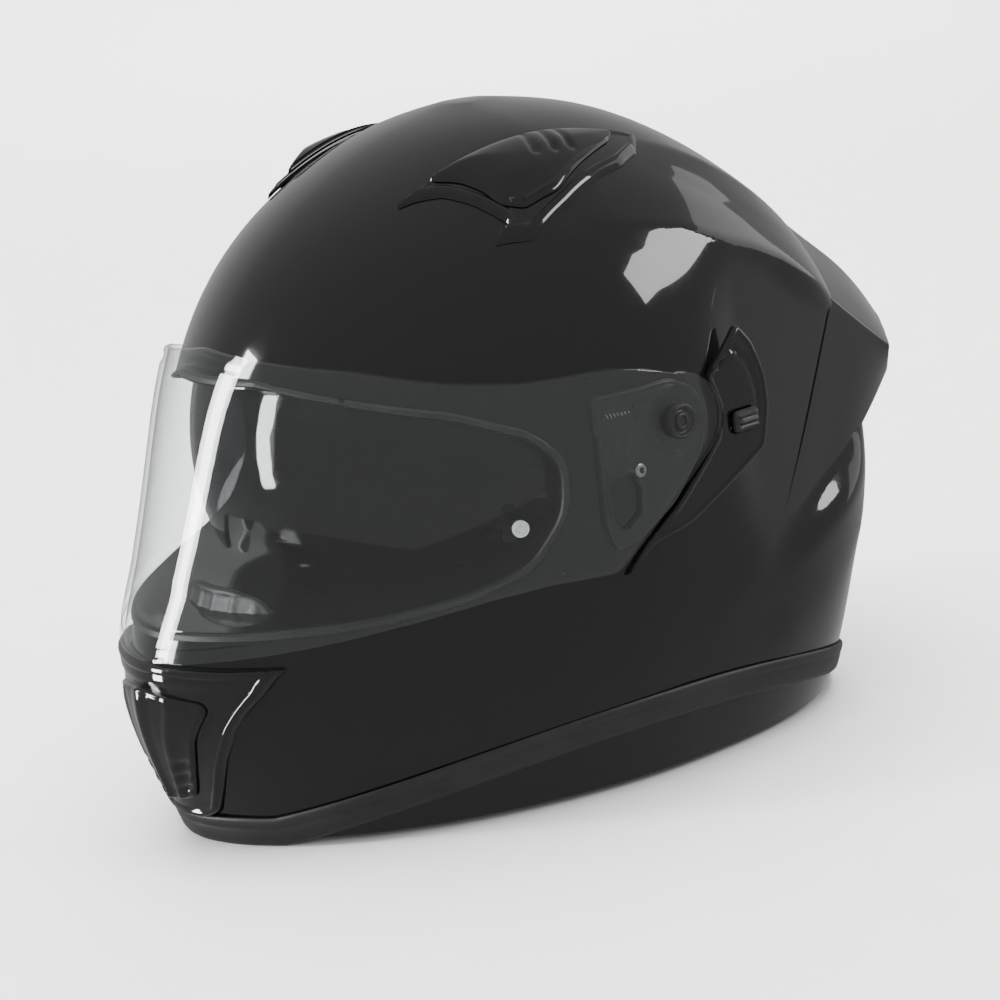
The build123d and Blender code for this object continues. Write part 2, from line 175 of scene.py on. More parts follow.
def unrolled(side_points, out=0.0, flare=0.0):
    """Side view points (y, z) of the rider's left as points of the unrolled drawing."""
    side_points = np.asarray(side_points, float)
    low, high = np.zeros(len(side_points)), np.full(len(side_points), pi)
    for _ in range(40):
        middle = (low + high) / 2
        ahead = turn_point(middle, side_points[:, 1], out, flare)[:, 1] < side_points[:, 0]
        low, high = np.where(ahead, middle, low), np.where(ahead, high, middle)
    return np.stack([low * UNROLL, side_points[:, 1]], -1)


print("half width at the visor pivot:", round(float(side_x(-3, 145)), 1), "mm")

# %% [markdown]
# ## Outlines
# Every trim starts as a flat outline with a few corners. Moulded parts have no sharp corner, so the outline
# is rounded first, and then divided evenly, which keeps the mesh along the edge regular.

# %% Rounding and dividing an outline
FEWEST = 8  # points on even the smallest outline


def rounded(outline, radius=2.0, step=1.2):
    """The closed outline with its corners rounded by short quadratic curves, then evenly divided."""
    points, n = [np.array(p, float) for p in outline], len(outline)
    shares = (0, 0.25, 0.5, 0.75, 1)
    path = []
    for i in range(n):
        before, here, after = points[i - 1], points[i], points[(i + 1) % n]
        a, b = before - here, after - here
        la, lb = np.linalg.norm(a), np.linalg.norm(b)
        cut = min(radius, la * 0.45, lb * 0.45)
        start, end = here + a / la * cut, here + b / lb * cut
        path += [(1 - t) ** 2 * start + 2 * t * (1 - t) * here + t ** 2 * end for t in shares]
    return divided(path, step)


def divided(path, step, closed=True):
    """The path with points about one step apart."""
    path = np.array(path, float)
    loop = np.vstack([path, path[:1]]) if closed else path
    length = np.concatenate([[0], np.cumsum(np.linalg.norm(np.diff(loop, axis=0), axis=1))])
    keep = np.concatenate([[True], np.diff(length) > 1e-6])
    count = max(int(length[-1] / step), FEWEST)
    at = np.linspace(0, length[-1], count, endpoint=not closed)
    return np.stack([np.interp(at, length[keep], loop[keep, k]) for k in range(2)], -1)


print("a rounded square of 10 mm has", len(rounded([(0, 0), (10, 0), (10, 10), (0, 10)])), "points")

# %% [markdown]
# ## Inside, outside and how far from the edge
# A moulded edge is rolled over, and lips and grooves run along it. All of these follow from two questions:
# is this place inside the outline, and how far is it from the edge?

# %% Inside and edge distance
def inside(points, outline):
    """Which points the outline goes round, by counting the edges that each one looks across."""
    x, y = points[:, 0], points[:, 1]
    hit = np.zeros(len(points), bool)
    for (x0, y0), (x1, y1) in zip(outline, np.roll(outline, -1, axis=0)):
        crosses = (y0 > y) != (y1 > y)
        hit ^= crosses & (x < (x1 - x0) * (y - y0) / (y1 - y0 + 1e-12) + x0)
    return hit


def edge_distance(points, outline):
    best = np.full(len(points), 1e9)
    for a, b in zip(outline, np.roll(outline, -1, axis=0)):
        d = b - a
        t = np.clip(((points - a) @ d) / max(d @ d, 1e-12), 0, 1)
        best = np.minimum(best, np.linalg.norm(points - a - t[:, None] * d, axis=1))
    return best


print("inside test and edge distance ready")

# %% [markdown]
# ## Filling an outline
# The flat drawing is filled with small even triangles. Rows of points run beside the edge, and beside any
# line where the surface steps, so that a rolled edge or a step is crisp instead of jagged.

# %% Triangles for a drawing
EDGE_ROWS = (0.35, 0.9, 1.8)  # millimetres from the edge


def sideways(line):
    """The unit normal of an open line at each of its points."""
    ahead = np.gradient(line, axis=0)
    return np.stack([-ahead[:, 1], ahead[:, 0]], -1) / np.linalg.norm(ahead, axis=1)[:, None]


def filled(outlines, spacing, rows=EDGE_ROWS, lines=()):
    """Triangles inside the first outline and outside the others: points, faces, distance to the edge."""
    points, edges = [], []
    for loop in outlines:
        start = sum(len(p) for p in points)
        points.append(loop)
        edges += [(start + i, start + (i + 1) % len(loop)) for i in range(len(loop))]
    outer = outlines[0]
    low, high = outer.min(0), outer.max(0)
    xs = np.arange(low[0], high[0], spacing)
    ys = np.arange(low[1], high[1], spacing * 0.87)
    grid = np.array([(x + (j % 2) * spacing / 2, y) for j, y in enumerate(ys) for x in xs])
    extra = [grid]
    for loop in outlines:
        ahead = np.roll(loop, -1, axis=0) - np.roll(loop, 1, axis=0)
        normal = np.stack([-ahead[:, 1], ahead[:, 0]], -1) / np.linalg.norm(ahead, axis=1)[:, None]
        for row in rows:
            extra += [loop + normal * row, loop - normal * row]
    for line in lines:
        line = divided(line, spacing * 0.6, closed=False)
        normal = sideways(line)
        extra += [line + normal * 0.35, line - normal * 0.35, line + normal, line - normal]
    free = np.vstack(extra)
    keep = inside(free, outer)
    distance = edge_distance(free, outer)
    for hole in outlines[1:]:
        keep &= ~inside(free, hole)
        distance = np.minimum(distance, edge_distance(free, hole))
    near_row = (distance < rows[-1] + spacing * 0.3) & (np.arange(len(free)) < len(grid))
    off_row = (np.arange(len(free)) >= len(grid)) & (distance < rows[0] * 0.9)
    free = free[keep & ~near_row & ~off_row]
    every = np.vstack(points + [free])
    result = delaunay_2d_cdt([Vector(p) for p in every], edges, [], 1 if len(outlines) == 1 else 2, 1e-5)
    vertices = np.array([tuple(v) for v in result[0]])
    faces = np.array([tuple(f) for f in result[2] if len(f) == 3])
    centres = vertices[faces].mean(1)
    good = inside(centres, outer)
    for hole in outlines[1:]:
        good &= ~inside(centres, hole)
    distance = np.minimum.reduce([edge_distance(vertices, loop) for loop in outlines])
    return vertices, faces[good], distance


print("edge rows at", EDGE_ROWS, "mm")

# %% [markdown]
# ## From points to a solid
# A plate or a wall is one closed skin: a top sheet, the same sheet lower down, and a wall round every open
# edge. Edges that turn sharply are marked, so that smooth shading stops there.

# %% Making objects and closing skins
def make_object(name, vertices, faces, smooth=True):
    mesh = bpy.data.meshes.new(name)
    places = (np.asarray(vertices) + [0, CENTRING, 0]) * MM
    mesh.from_pydata([tuple(v) for v in places], [], [tuple(int(i) for i in f) for f in faces])
    mesh.validate()
    mesh.update()
    if smooth:
        mesh.shade_smooth()
    piece = bpy.data.objects.new(name, mesh)
    bpy.context.scene.collection.objects.link(piece)
    return piece


def close_skin(top, bottom, faces):
    """One solid from a top sheet, the same sheet lower down, and a wall round every open edge."""
    n = len(top)
    edge_count = {}
    for f in faces:
        for a, b in zip(f, np.roll(f, -1)):
            edge_count[(a, b)] = edge_count.get((a, b), 0) + 1
    wall = [(a, a + n, b + n, b) for (a, b) in edge_count if (b, a) not in edge_count]
    all_faces = [tuple(f) for f in faces] + [tuple(n + i for i in reversed(f)) for f in faces] + wall
    return np.vstack([top, bottom]), all_faces


def face_outwards(piece, crease=32):
    bm = bmesh.new()
    bm.from_mesh(piece.data)
    bmesh.ops.recalc_face_normals(bm, faces=bm.faces)
    for edge in bm.edges:
        edge.smooth = not (len(edge.link_faces) == 2 and edge.calc_face_angle(0) > radians(crease))
    bm.to_mesh(piece.data)
    bm.free()
    return piece


print("skin helpers ready")

# %% [markdown]
# ## Plates wrapped on the form
# A trim plate is its flat drawing wrapped on the form, lifted by its thickness, and rolled over at the edge
# so that the rim catches the light. A plate of the left side is mirrored for the right.

# %% Plates
def plate(name, outlines, place, thick, base=0.0, edge=0.8, spacing=2.2, lift=None, crease=40,
          rows=EDGE_ROWS, lines=()):
    """A plate wrapped on the form: place maps a drawing to it, lift adds height at each point."""
    outlines = [np.asarray(o, float) for o in outlines]
    flat, faces, distance = filled(outlines, spacing, rows, lines)
    roll = np.sqrt(1 - (1 - np.clip(distance / edge, 0, 1)) ** 2)
    height = base + (thick - base) * (0.35 + 0.65 * roll)
    if lift is not None:
        height = height + lift(flat, distance) * roll
    top = place(flat, height)
    bottom = place(flat, np.full(len(flat), float(base)))
    vertices, solid = close_skin(top, bottom, faces)
    return face_outwards(make_object(name, vertices, solid), crease)


def mirror_copy(piece, name):
    """The same piece for the other side of the helmet."""
    mesh = piece.data.copy()
    mesh.transform(Matrix.Scale(-1, 4, (1, 0, 0)))
    mesh.flip_normals()
    other = bpy.data.objects.new(name, mesh)
    bpy.context.scene.collection.objects.link(other)
    return other


print("plates can be made")

# %% [markdown]
# ## Dressing a piece
# A new piece moves with one body of the frame, has one finish slot, and hides the frame's plain node that
# it stands for.

# %% Dress
def dress(piece, body, slot, material, *stands_for):
    """Gives a new piece its body, finish and the frame nodes that it stands for; slot is not used."""
    piece.data.materials.clear()
    piece.data.materials.append(material)
    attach(piece, body)
    if stands_for:
        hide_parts(*stands_for)
    return piece


# %% [markdown]
# ## A material to build on
# Each finish below is built from nothing, node by node, so that every node in it is there for a reason. A
# new material comes with nodes of its own, and they are cleared first.

# %% Empty material
def empty_material(name):
    """A new material and its node tree, with no nodes in it."""
    material = bpy.data.materials.new(name)
    if material.node_tree is None:
        material.use_nodes = True
    material.node_tree.nodes.clear()
    return material, material.node_tree


print("materials so far:", len(bpy.data.materials))

# %% [markdown]
# ## Lacquered shell
# The shell is fibre and resin, sprayed black, then clear coated and polished. Lacquer is never quite flat:
# it keeps a faint ripple, a little dust and fine polishing marks. The trims are moulded gloss plastic with
# the same make-up and a weaker ripple, so one function makes both.

# %% Lacquer
def lacquer(name, colour, ripple, haze):
    material, tree = empty_material(name)
    place = tree.nodes.new("ShaderNodeTexCoord")
    place.label, place.location = "Place on the piece", (-1100, 0)
    ripple_frame = tree.nodes.new("NodeFrame")
    ripple_frame.label = "Ripple of the clear coat"
    wave = tree.nodes.new("ShaderNodeTexNoise")
    wave.label, wave.location, wave.parent = "Orange peel", (-800, -300), ripple_frame
    bump = tree.nodes.new("ShaderNodeBump")
    bump.label, bump.location, bump.parent = "Ripple height", (-300, -300), ripple_frame
    wear_frame = tree.nodes.new("NodeFrame")
    wear_frame.label = "Dust and polishing marks"
    smear = tree.nodes.new("ShaderNodeTexNoise")
    smear.label, smear.location, smear.parent = "Hand marks", (-800, 100), wear_frame
    dust = tree.nodes.new("ShaderNodeTexVoronoi")
    dust.label, dust.location, dust.parent = "Dust specks", (-800, 350), wear_frame
    marks = tree.nodes.new("ShaderNodeMapRange")
    marks.label, marks.location, marks.parent = "Roughness from marks", (-500, 100), wear_frame
    speck = tree.nodes.new("ShaderNodeMapRange")
    speck.label, speck.location, speck.parent = "Only speck centres", (-500, 350), wear_frame
    tint = tree.nodes.new("ShaderNodeMix")
    tint.label, tint.location, tint.parent = "Dust lightens the black", (-250, 350), wear_frame
    surface = tree.nodes.new("ShaderNodeBsdfPrincipled")
    surface.label, surface.location = "Lacquered surface", (50, 100)
    out = tree.nodes.new("ShaderNodeOutputMaterial")
    out.label, out.location = "Out", (350, 100)

    wave.inputs["Scale"].default_value = 420
    wave.inputs["Detail"].default_value = 1
    bump.inputs["Strength"].default_value = ripple
    bump.inputs["Distance"].default_value = 0.0002
    smear.inputs["Scale"].default_value = 24
    smear.inputs["Detail"].default_value = 8
    smear.inputs["Distortion"].default_value = 1.2
    dust.inputs["Scale"].default_value = 300
    marks.inputs["From Min"].default_value = 0.4
    marks.inputs["From Max"].default_value = 0.75
    marks.inputs["To Min"].default_value = haze
    marks.inputs["To Max"].default_value = haze + 0.06
    speck.inputs["From Min"].default_value = 0.02
    speck.inputs["From Max"].default_value = 0.10
    speck.inputs["To Min"].default_value = 0.35
    speck.inputs["To Max"].default_value = 0.0
    tint.data_type = "RGBA"
    tint.inputs["A"].default_value = (*colour, 1)
    tint.inputs["B"].default_value = (0.05, 0.05, 0.052, 1)
    surface.inputs["Specular IOR Level"].default_value = 0.12
    surface.inputs["Coat Weight"].default_value = 1.0
    surface.inputs["Coat Roughness"].default_value = 0.02
    surface.inputs["IOR"].default_value = 1.5

    tree.links.new(place.outputs["Object"], wave.inputs["Vector"])
    tree.links.new(place.outputs["Object"], smear.inputs["Vector"])
    tree.links.new(place.outputs["Object"], dust.inputs["Vector"])
    tree.links.new(wave.outputs["Fac"], bump.inputs["Height"])
    tree.links.new(smear.outputs["Fac"], marks.inputs["Value"])
    tree.links.new(dust.outputs["Distance"], speck.inputs["Value"])
    tree.links.new(speck.outputs["Result"], tint.inputs["Factor"])
    tree.links.new(tint.outputs["Result"], surface.inputs["Base Color"])
    tree.links.new(marks.outputs["Result"], surface.inputs["Roughness"])
    tree.links.new(bump.outputs["Normal"], surface.inputs["Normal"])
    tree.links.new(surface.outputs["BSDF"], out.inputs["Surface"])
    return material


GLOSS_PAINT = lacquer("gloss_paint", (0.0035, 0.0035, 0.0038), 0.10, 0.10)
GLOSS_BLACK = lacquer("gloss_black", (0.004, 0.004, 0.0045), 0.05, 0.09)
print("lacquers made")

# %% [markdown]
# ## Moulded plastic and rubber
# Base plates, latches and the buckle come out of spark-eroded moulds, which leave a fine even grain. The
# rubber edging is softer, greyer and duller, with scuffs. Grain size, grain depth and dullness are the
# arguments.

# %% Moulded grain
def moulded(name, colour, dullness, grain, depth, metal=0.0, vary=0.35):
    material, tree = empty_material(name)
    place = tree.nodes.new("ShaderNodeTexCoord")
    place.label, place.location = "Place on the piece", (-1100, 0)
    grain_frame = tree.nodes.new("NodeFrame")
    grain_frame.label = "Mould grain"
    pits = tree.nodes.new("ShaderNodeTexVoronoi")
    pits.label, pits.location, pits.parent = "Eroded pits", (-850, -300), grain_frame
    fine = tree.nodes.new("ShaderNodeTexNoise")
    fine.label, fine.location, fine.parent = "Fine tooth", (-850, -550), grain_frame
    both = tree.nodes.new("ShaderNodeMath")
    both.label, both.location, both.parent = "Pits and tooth", (-600, -400), grain_frame
    bump = tree.nodes.new("ShaderNodeBump")
    bump.label, bump.location, bump.parent = "Grain height", (-350, -400), grain_frame
    wear_frame = tree.nodes.new("NodeFrame")
    wear_frame.label = "Scuffs and rubbed places"
    rub = tree.nodes.new("ShaderNodeTexNoise")
    rub.label, rub.location, rub.parent = "Rubbed places", (-850, 150), wear_frame
    dull = tree.nodes.new("ShaderNodeMapRange")
    dull.label, dull.location, dull.parent = "Roughness from rubbing", (-550, 150), wear_frame
    shade = tree.nodes.new("ShaderNodeValToRGB")
    shade.label, shade.location, shade.parent = "Colour from rubbing", (-550, 420), wear_frame
    surface = tree.nodes.new("ShaderNodeBsdfPrincipled")
    surface.label, surface.location = "Moulded surface", (0, 100)
    out = tree.nodes.new("ShaderNodeOutputMaterial")
    out.label, out.location = "Out", (300, 100)

    pits.inputs["Scale"].default_value = grain
    fine.inputs["Scale"].default_value = grain * 2.3
    fine.inputs["Detail"].default_value = 3
    both.operation = "ADD"
    bump.inputs["Strength"].default_value = depth
    bump.inputs["Distance"].default_value = 0.0003
    rub.inputs["Scale"].default_value = 38
    rub.inputs["Detail"].default_value = 7
    rub.inputs["Roughness"].default_value = 0.65
    dull.inputs["From Min"].default_value = 0.35
    dull.inputs["From Max"].default_value = 0.70
    dull.inputs["To Min"].default_value = dullness - 0.06
    dull.inputs["To Max"].default_value = dullness + 0.08
    shade.color_ramp.elements[0].position = 0.35
    shade.color_ramp.elements[0].color = (*[c * (1 - vary * 0.6) for c in colour], 1)
    shade.color_ramp.elements[1].position = 0.75
    shade.color_ramp.elements[1].color = (*[c * (1 + vary) for c in colour], 1)
    surface.inputs["Metallic"].default_value = metal

    tree.links.new(place.outputs["Object"], pits.inputs["Vector"])
    tree.links.new(place.outputs["Object"], fine.inputs["Vector"])
    tree.links.new(place.outputs["Object"], rub.inputs["Vector"])
    tree.links.new(pits.outputs["Distance"], both.inputs[0])
    tree.links.new(fine.outputs["Fac"], both.inputs[1])
    tree.links.new(both.outputs["Value"], bump.inputs["Height"])
    tree.links.new(rub.outputs["Fac"], dull.inputs["Value"])
    tree.links.new(rub.outputs["Fac"], shade.inputs["Fac"])
    tree.links.new(shade.outputs["Color"], surface.inputs["Base Color"])
    tree.links.new(dull.outputs["Result"], surface.inputs["Roughness"])
    tree.links.new(bump.outputs["Normal"], surface.inputs["Normal"])
    tree.links.new(surface.outputs["BSDF"], out.inputs["Surface"])
    return material


SATIN_BLACK = moulded("satin_black", (0.010, 0.010, 0.011), 0.36, 1700, 0.10)
EDGE_RUBBER = moulded("edge_rubber", (0.012, 0.012, 0.013), 0.46, 1300, 0.15)
BUCKLE_PLASTIC = moulded("buckle_plastic", (0.016, 0.016, 0.017), 0.45, 800, 0.35)
LEVER_RED = moulded("lever_red", (0.42, 0.012, 0.010), 0.40, 800, 0.30)
STEEL = moulded("steel", (0.52, 0.51, 0.49), 0.24, 1400, 0.12, metal=1.0)
EPS_FOAM = moulded("eps_foam", (0.020, 0.020, 0.021), 0.80, 260, 0.9)
print("moulded finishes made")

# %% [markdown]
# ## Liner cloth, webbing and leatherette
# The liner is a knitted spacer mesh with small round holes; chin straps are twill webbing; the neck roll
# and the strap pads are leatherette. All three are a repeating relief with fuzz or grain on top, so one
# function makes them: two crossing waves give the relief, a noise breaks it up, and the relief's hollows
# are painted darker, as painted shade in the holes.

# %% Cloth
def cloth(name, colour, pitch, cross, relief, fuzz, dullness):
    material, tree = empty_material(name)
    place = tree.nodes.new("ShaderNodeTexCoord")
    place.label, place.location = "Place on the piece", (-1300, 0)
    weave_frame = tree.nodes.new("NodeFrame")
    weave_frame.label = "Knit relief"
    along = tree.nodes.new("ShaderNodeTexWave")
    along.label, along.location, along.parent = "Courses", (-1050, -250), weave_frame
    across = tree.nodes.new("ShaderNodeTexWave")
    across.label, across.location, across.parent = "Wales", (-1050, -550), weave_frame
    crossing = tree.nodes.new("ShaderNodeMath")
    crossing.label, crossing.location, crossing.parent = "Where both are low", (-800, -400), weave_frame
    bump = tree.nodes.new("ShaderNodeBump")
    bump.label, bump.location, bump.parent = "Relief height", (-300, -400), weave_frame
    yarn_frame = tree.nodes.new("NodeFrame")
    yarn_frame.label = "Yarn colour, painted hole shade and fluff"
    fluff = tree.nodes.new("ShaderNodeTexNoise")
    fluff.label, fluff.location, fluff.parent = "Fluff", (-1050, 200), yarn_frame
    # Painted shade: the hollows of the relief are coloured darker, as shadow in the knit's holes would make
    # them.
    hole_shade = tree.nodes.new("ShaderNodeMix")
    hole_shade.label, hole_shade.location, hole_shade.parent = "Painted shade in the holes", (-500, 200), yarn_frame
    worn = tree.nodes.new("ShaderNodeMapRange")
    worn.label, worn.location, worn.parent = "Worn smooth in places", (-750, 400), yarn_frame
    surface = tree.nodes.new("ShaderNodeBsdfPrincipled")
    surface.label, surface.location = "Cloth surface", (0, 100)
    out = tree.nodes.new("ShaderNodeOutputMaterial")
    out.label, out.location = "Out", (300, 100)

    along.bands_direction = "Z"
    along.inputs["Scale"].default_value = pitch
    along.inputs["Distortion"].default_value = 0.5
    across.bands_direction = "DIAGONAL"
    across.inputs["Scale"].default_value = cross
    across.inputs["Distortion"].default_value = 0.5
    crossing.operation = "MULTIPLY"
    bump.inputs["Strength"].default_value = relief
    bump.inputs["Distance"].default_value = 0.0006
    fluff.inputs["Scale"].default_value = 700
    fluff.inputs["Detail"].default_value = 6
    hole_shade.data_type = "RGBA"
    # Painted shade: the relief's hollows take 45 percent of the cloth's colour.
    hole_shade.inputs["A"].default_value = (*[c * 0.45 for c in colour], 1)
    hole_shade.inputs["B"].default_value = (*colour, 1)
    worn.inputs["To Min"].default_value = dullness - 0.1
    worn.inputs["To Max"].default_value = dullness + 0.1
    surface.inputs["Sheen Weight"].default_value = fuzz
    surface.inputs["Sheen Roughness"].default_value = 0.5

    tree.links.new(place.outputs["Object"], along.inputs["Vector"])
    tree.links.new(place.outputs["Object"], across.inputs["Vector"])
    tree.links.new(place.outputs["Object"], fluff.inputs["Vector"])
    tree.links.new(along.outputs["Fac"], crossing.inputs[0])
    tree.links.new(across.outputs["Fac"], crossing.inputs[1])
    tree.links.new(crossing.outputs["Value"], bump.inputs["Height"])
    tree.links.new(crossing.outputs["Value"], hole_shade.inputs["Factor"])
    tree.links.new(fluff.outputs["Fac"], worn.inputs["Value"])
    tree.links.new(hole_shade.outputs["Result"], surface.inputs["Base Color"])
    tree.links.new(worn.outputs["Result"], surface.inputs["Roughness"])
    tree.links.new(bump.outputs["Normal"], surface.inputs["Normal"])
    tree.links.new(surface.outputs["BSDF"], out.inputs["Surface"])
    return material


LINER_FABRIC = cloth("liner_fabric", (0.012, 0.012, 0.012), 130, 110, 1.0, 0.08, 0.80)
WEBBING = cloth("webbing", (0.018, 0.018, 0.019), 320, 420, 0.8, 0.10, 0.70)
LEATHERETTE = cloth("leatherette", (0.018, 0.018, 0.018), 500, 460, 0.35, 0.05, 0.50)
print("cloths made")

# %% [markdown]
# ## Clear and smoked sheet
# The visor is clear polycarbonate a couple of millimetres thick with a hard coat; the sun visor is the same
# sheet, dyed. Light goes straight through such a thin sheet and mirrors off both faces, more strongly at a
# glancing angle, so a tinted see-through part and a mirror part are mixed by that angle.

# %% Thin sheet
def thin_sheet(name, tint, haze):
    material, tree = empty_material(name)
    place = tree.nodes.new("ShaderNodeTexCoord")
    place.label, place.location = "Place on the piece", (-900, -200)
    coat_frame = tree.nodes.new("NodeFrame")
    coat_frame.label = "Hard coat with faint wipe marks"
    wipe = tree.nodes.new("ShaderNodeTexNoise")
    wipe.label, wipe.location, wipe.parent = "Wipe marks", (-650, -200), coat_frame
    blur = tree.nodes.new("ShaderNodeMapRange")
    blur.label, blur.location, blur.parent = "Roughness from wiping", (-400, -200), coat_frame
    mirror = tree.nodes.new("ShaderNodeBsdfGlossy")
    mirror.label, mirror.location, mirror.parent = "Mirror off the coat", (-150, -150), coat_frame
    body_frame = tree.nodes.new("NodeFrame")
    body_frame.label = "Sheet that light passes"
    facing = tree.nodes.new("ShaderNodeLayerWeight")
    facing.label, facing.location, facing.parent = "How slanted the view is", (-650, 250), body_frame
    steep = tree.nodes.new("ShaderNodeMath")
    steep.label, steep.location, steep.parent = "Rises late, near the edge", (-400, 250), body_frame
    glance = tree.nodes.new("ShaderNodeMapRange")
    glance.label, glance.location, glance.parent = "Share that mirrors", (-150, 250), body_frame
    through = tree.nodes.new("ShaderNodeBsdfTransparent")
    through.label, through.location, through.parent = "See-through", (-150, 50), body_frame
    mixed = tree.nodes.new("ShaderNodeMixShader")
    mixed.label, mixed.location = "Sheet", (100, 50)
    out = tree.nodes.new("ShaderNodeOutputMaterial")
    out.label, out.location = "Out", (300, 50)

    wipe.inputs["Scale"].default_value = 30
    wipe.inputs["Detail"].default_value = 6
    wipe.inputs["Distortion"].default_value = 2
    blur.inputs["To Min"].default_value = haze
    blur.inputs["To Max"].default_value = haze + 0.05
    mirror.inputs["Color"].default_value = (0.95, 0.95, 0.95, 1)
    facing.inputs["Blend"].default_value = 0.5
    steep.operation = "POWER"
    steep.inputs[1].default_value = 5.0
    glance.inputs["To Min"].default_value = 0.045
    glance.inputs["To Max"].default_value = 0.9
    through.inputs["Color"].default_value = (*tint, 1)

    tree.links.new(place.outputs["Object"], wipe.inputs["Vector"])
    tree.links.new(wipe.outputs["Fac"], blur.inputs["Value"])
    tree.links.new(blur.outputs["Result"], mirror.inputs["Roughness"])
    tree.links.new(facing.outputs["Facing"], steep.inputs[0])
    tree.links.new(steep.outputs["Value"], glance.inputs["Value"])
    tree.links.new(glance.outputs["Result"], mixed.inputs["Fac"])
    tree.links.new(through.outputs["BSDF"], mixed.inputs[1])
    tree.links.new(mirror.outputs["BSDF"], mixed.inputs[2])
    tree.links.new(mixed.outputs["Shader"], out.inputs["Surface"])
    return material


CLEAR_VISOR = thin_sheet("clear_visor", (0.93, 0.94, 0.94), 0.01)
SMOKE_VISOR = thin_sheet("smoke_visor", (0.30, 0.30, 0.31), 0.02)
CLEAR_PLASTIC = moulded("clear_plastic", (0.55, 0.56, 0.57), 0.20, 500, 0.05)
print("sheets made")

# %% [markdown]
# ## Finish for each frame node
# Every node of the frame names a finish slot. The small hard pieces are kept as the frame draws them and
# only get their finish here; the large and the soft ones are rebuilt in the cells that follow.

# %% Finish the frame's own nodes
SLOTS = {part["node"]: part["material_slot"] for part in frame["record"]["subparts"]}
FINISH = {m.name: m for m in (
    GLOSS_PAINT, GLOSS_BLACK, SATIN_BLACK, EDGE_RUBBER, BUCKLE_PLASTIC, LEVER_RED, STEEL, EPS_FOAM,
    LINER_FABRIC, WEBBING, LEATHERETTE, CLEAR_VISOR, SMOKE_VISOR, CLEAR_PLASTIC)}
for node_name, node_object in frame["nodes"].items():
    node_object.data.materials.clear()
    node_object.data.materials.append(FINISH[SLOTS[node_name]])
print("finished", len(frame["nodes"]), "nodes")

# %% [markdown]
# ## The shell
# A real shell is laid up in a mould and its eye port and neck are cut by a router. Here the form's rings
# are drawn closely, two sharp folds are raised along each side of the crown where the shell runs back to
# its spoiler, the port and the arched neck are cut with square tools, and the sheet gets its thickness
# inwards.

# %% Folds of the shell
# each fold: points on the shell (x, y, z on the rider's left), each with the fold's height there, in
# millimetres
CROWN_FOLD = np.array([
    (63, 20, 249, 0.0), (65, 41, 243, 0.6), (68, 57, 237, 1.8), (71, 70, 228, 2.4), (72, 89, 214, 2.0),
    (69, 107, 198, 1.0), (64, 125, 184, 0.0), (60, 146, 171, 0.0)], float)
SHOULDER_FOLD = np.array([
    (95, -20, 223, 0.0), (97, -5, 220, 1.0), (101, 12, 216, 2.0), (103.5, 29, 211, 2.6), (105, 46, 203, 2.6),
    (103, 62, 196, 2.0), (101, 75, 189, 1.4), (92, 113, 164, 0.4), (88, 135, 150, 0.0)], float)
BAND_FOLD = np.array([
    (88, -38, 223, 0.0), (92, -25, 220, 0.6), (103, -5, 213, 0.9), (109, 10, 205, 0.9), (112, 20, 198, 0.6),
    (114, 32, 191, 0.0)], float)
LOWER_FOLD = np.array([
    (119, 0, 52, 0.0), (119, 14, 61, 0.8), (117, 46, 83, 1.2), (114, 57, 84, 1.0), (95, 107, 104, 0.0),
    (80, 135, 112, 0.0)], float)
NAPE_FOLD = np.array([
    (109, 35, 37, 0.0), (109, 52, 45, 1.4), (97, 85, 58, 2.0), (100, 105, 72, 2.0),
    (100, 120, 96, 1.0)], float)
CHIN_FOLD = np.array([
    (50, -157, 62, 0.0), (80, -140, 58, 1.6), (100, -105, 55, 1.8), (115, -60, 52, 1.8), (119, -20, 50, 1.0),
    (119, 0, 50, 0.0)], float)
# each fold with its width
FOLDS = [
    (CROWN_FOLD, 13.0), (SHOULDER_FOLD, 13.0), (BAND_FOLD, 9.0), (LOWER_FOLD, 14.0), (NAPE_FOLD, 12.0),
    (CHIN_FOLD, 16.0)]


def fold_height(points):
    """How far the folds raise the shell at each point; both sides are the same."""
    spot = np.array(points, float)
    spot[:, 0] = np.abs(spot[:, 0])
    total = np.zeros(len(spot))
    for line, width in FOLDS:
        nearest, height = np.full(len(spot), 1e9), np.zeros(len(spot))
        for a, b in zip(line, line[1:]):
            d = b[:3] - a[:3]
            t = np.clip((spot - a[:3]) @ d / (d @ d), 0, 1)
            gap = np.linalg.norm(spot - a[:3] - t[:, None] * d, axis=1)
            closer = gap < nearest
            nearest = np.where(closer, gap, nearest)
            height = np.where(closer, a[3] + (b[3] - a[3]) * t, height)
        rounded_gap = np.sqrt(nearest ** 2 + 0.6 ** 2) - 0.6
        total = np.maximum(total, height * np.exp(-rounded_gap / width))
    return total


print("folds:", len(FOLDS))

# %% [markdown]
# Between the shoulder fold and the lower fold, the rear side of the shell is one flat facet that runs back
# to the spoiler. The form is pressed on to that plane, softly, so that the facet has no hard border.

# %% Flat facet of the rear side
FACET_NORMAL, FACET_REACH = np.array([0.957, 0.279, 0.071]), 131.0


def smooth_step(t):
    """Rises from 0 to 1 without a corner at either end."""
    t = np.clip(t, 0, 1)
    return t * t * (3 - 2 * t)


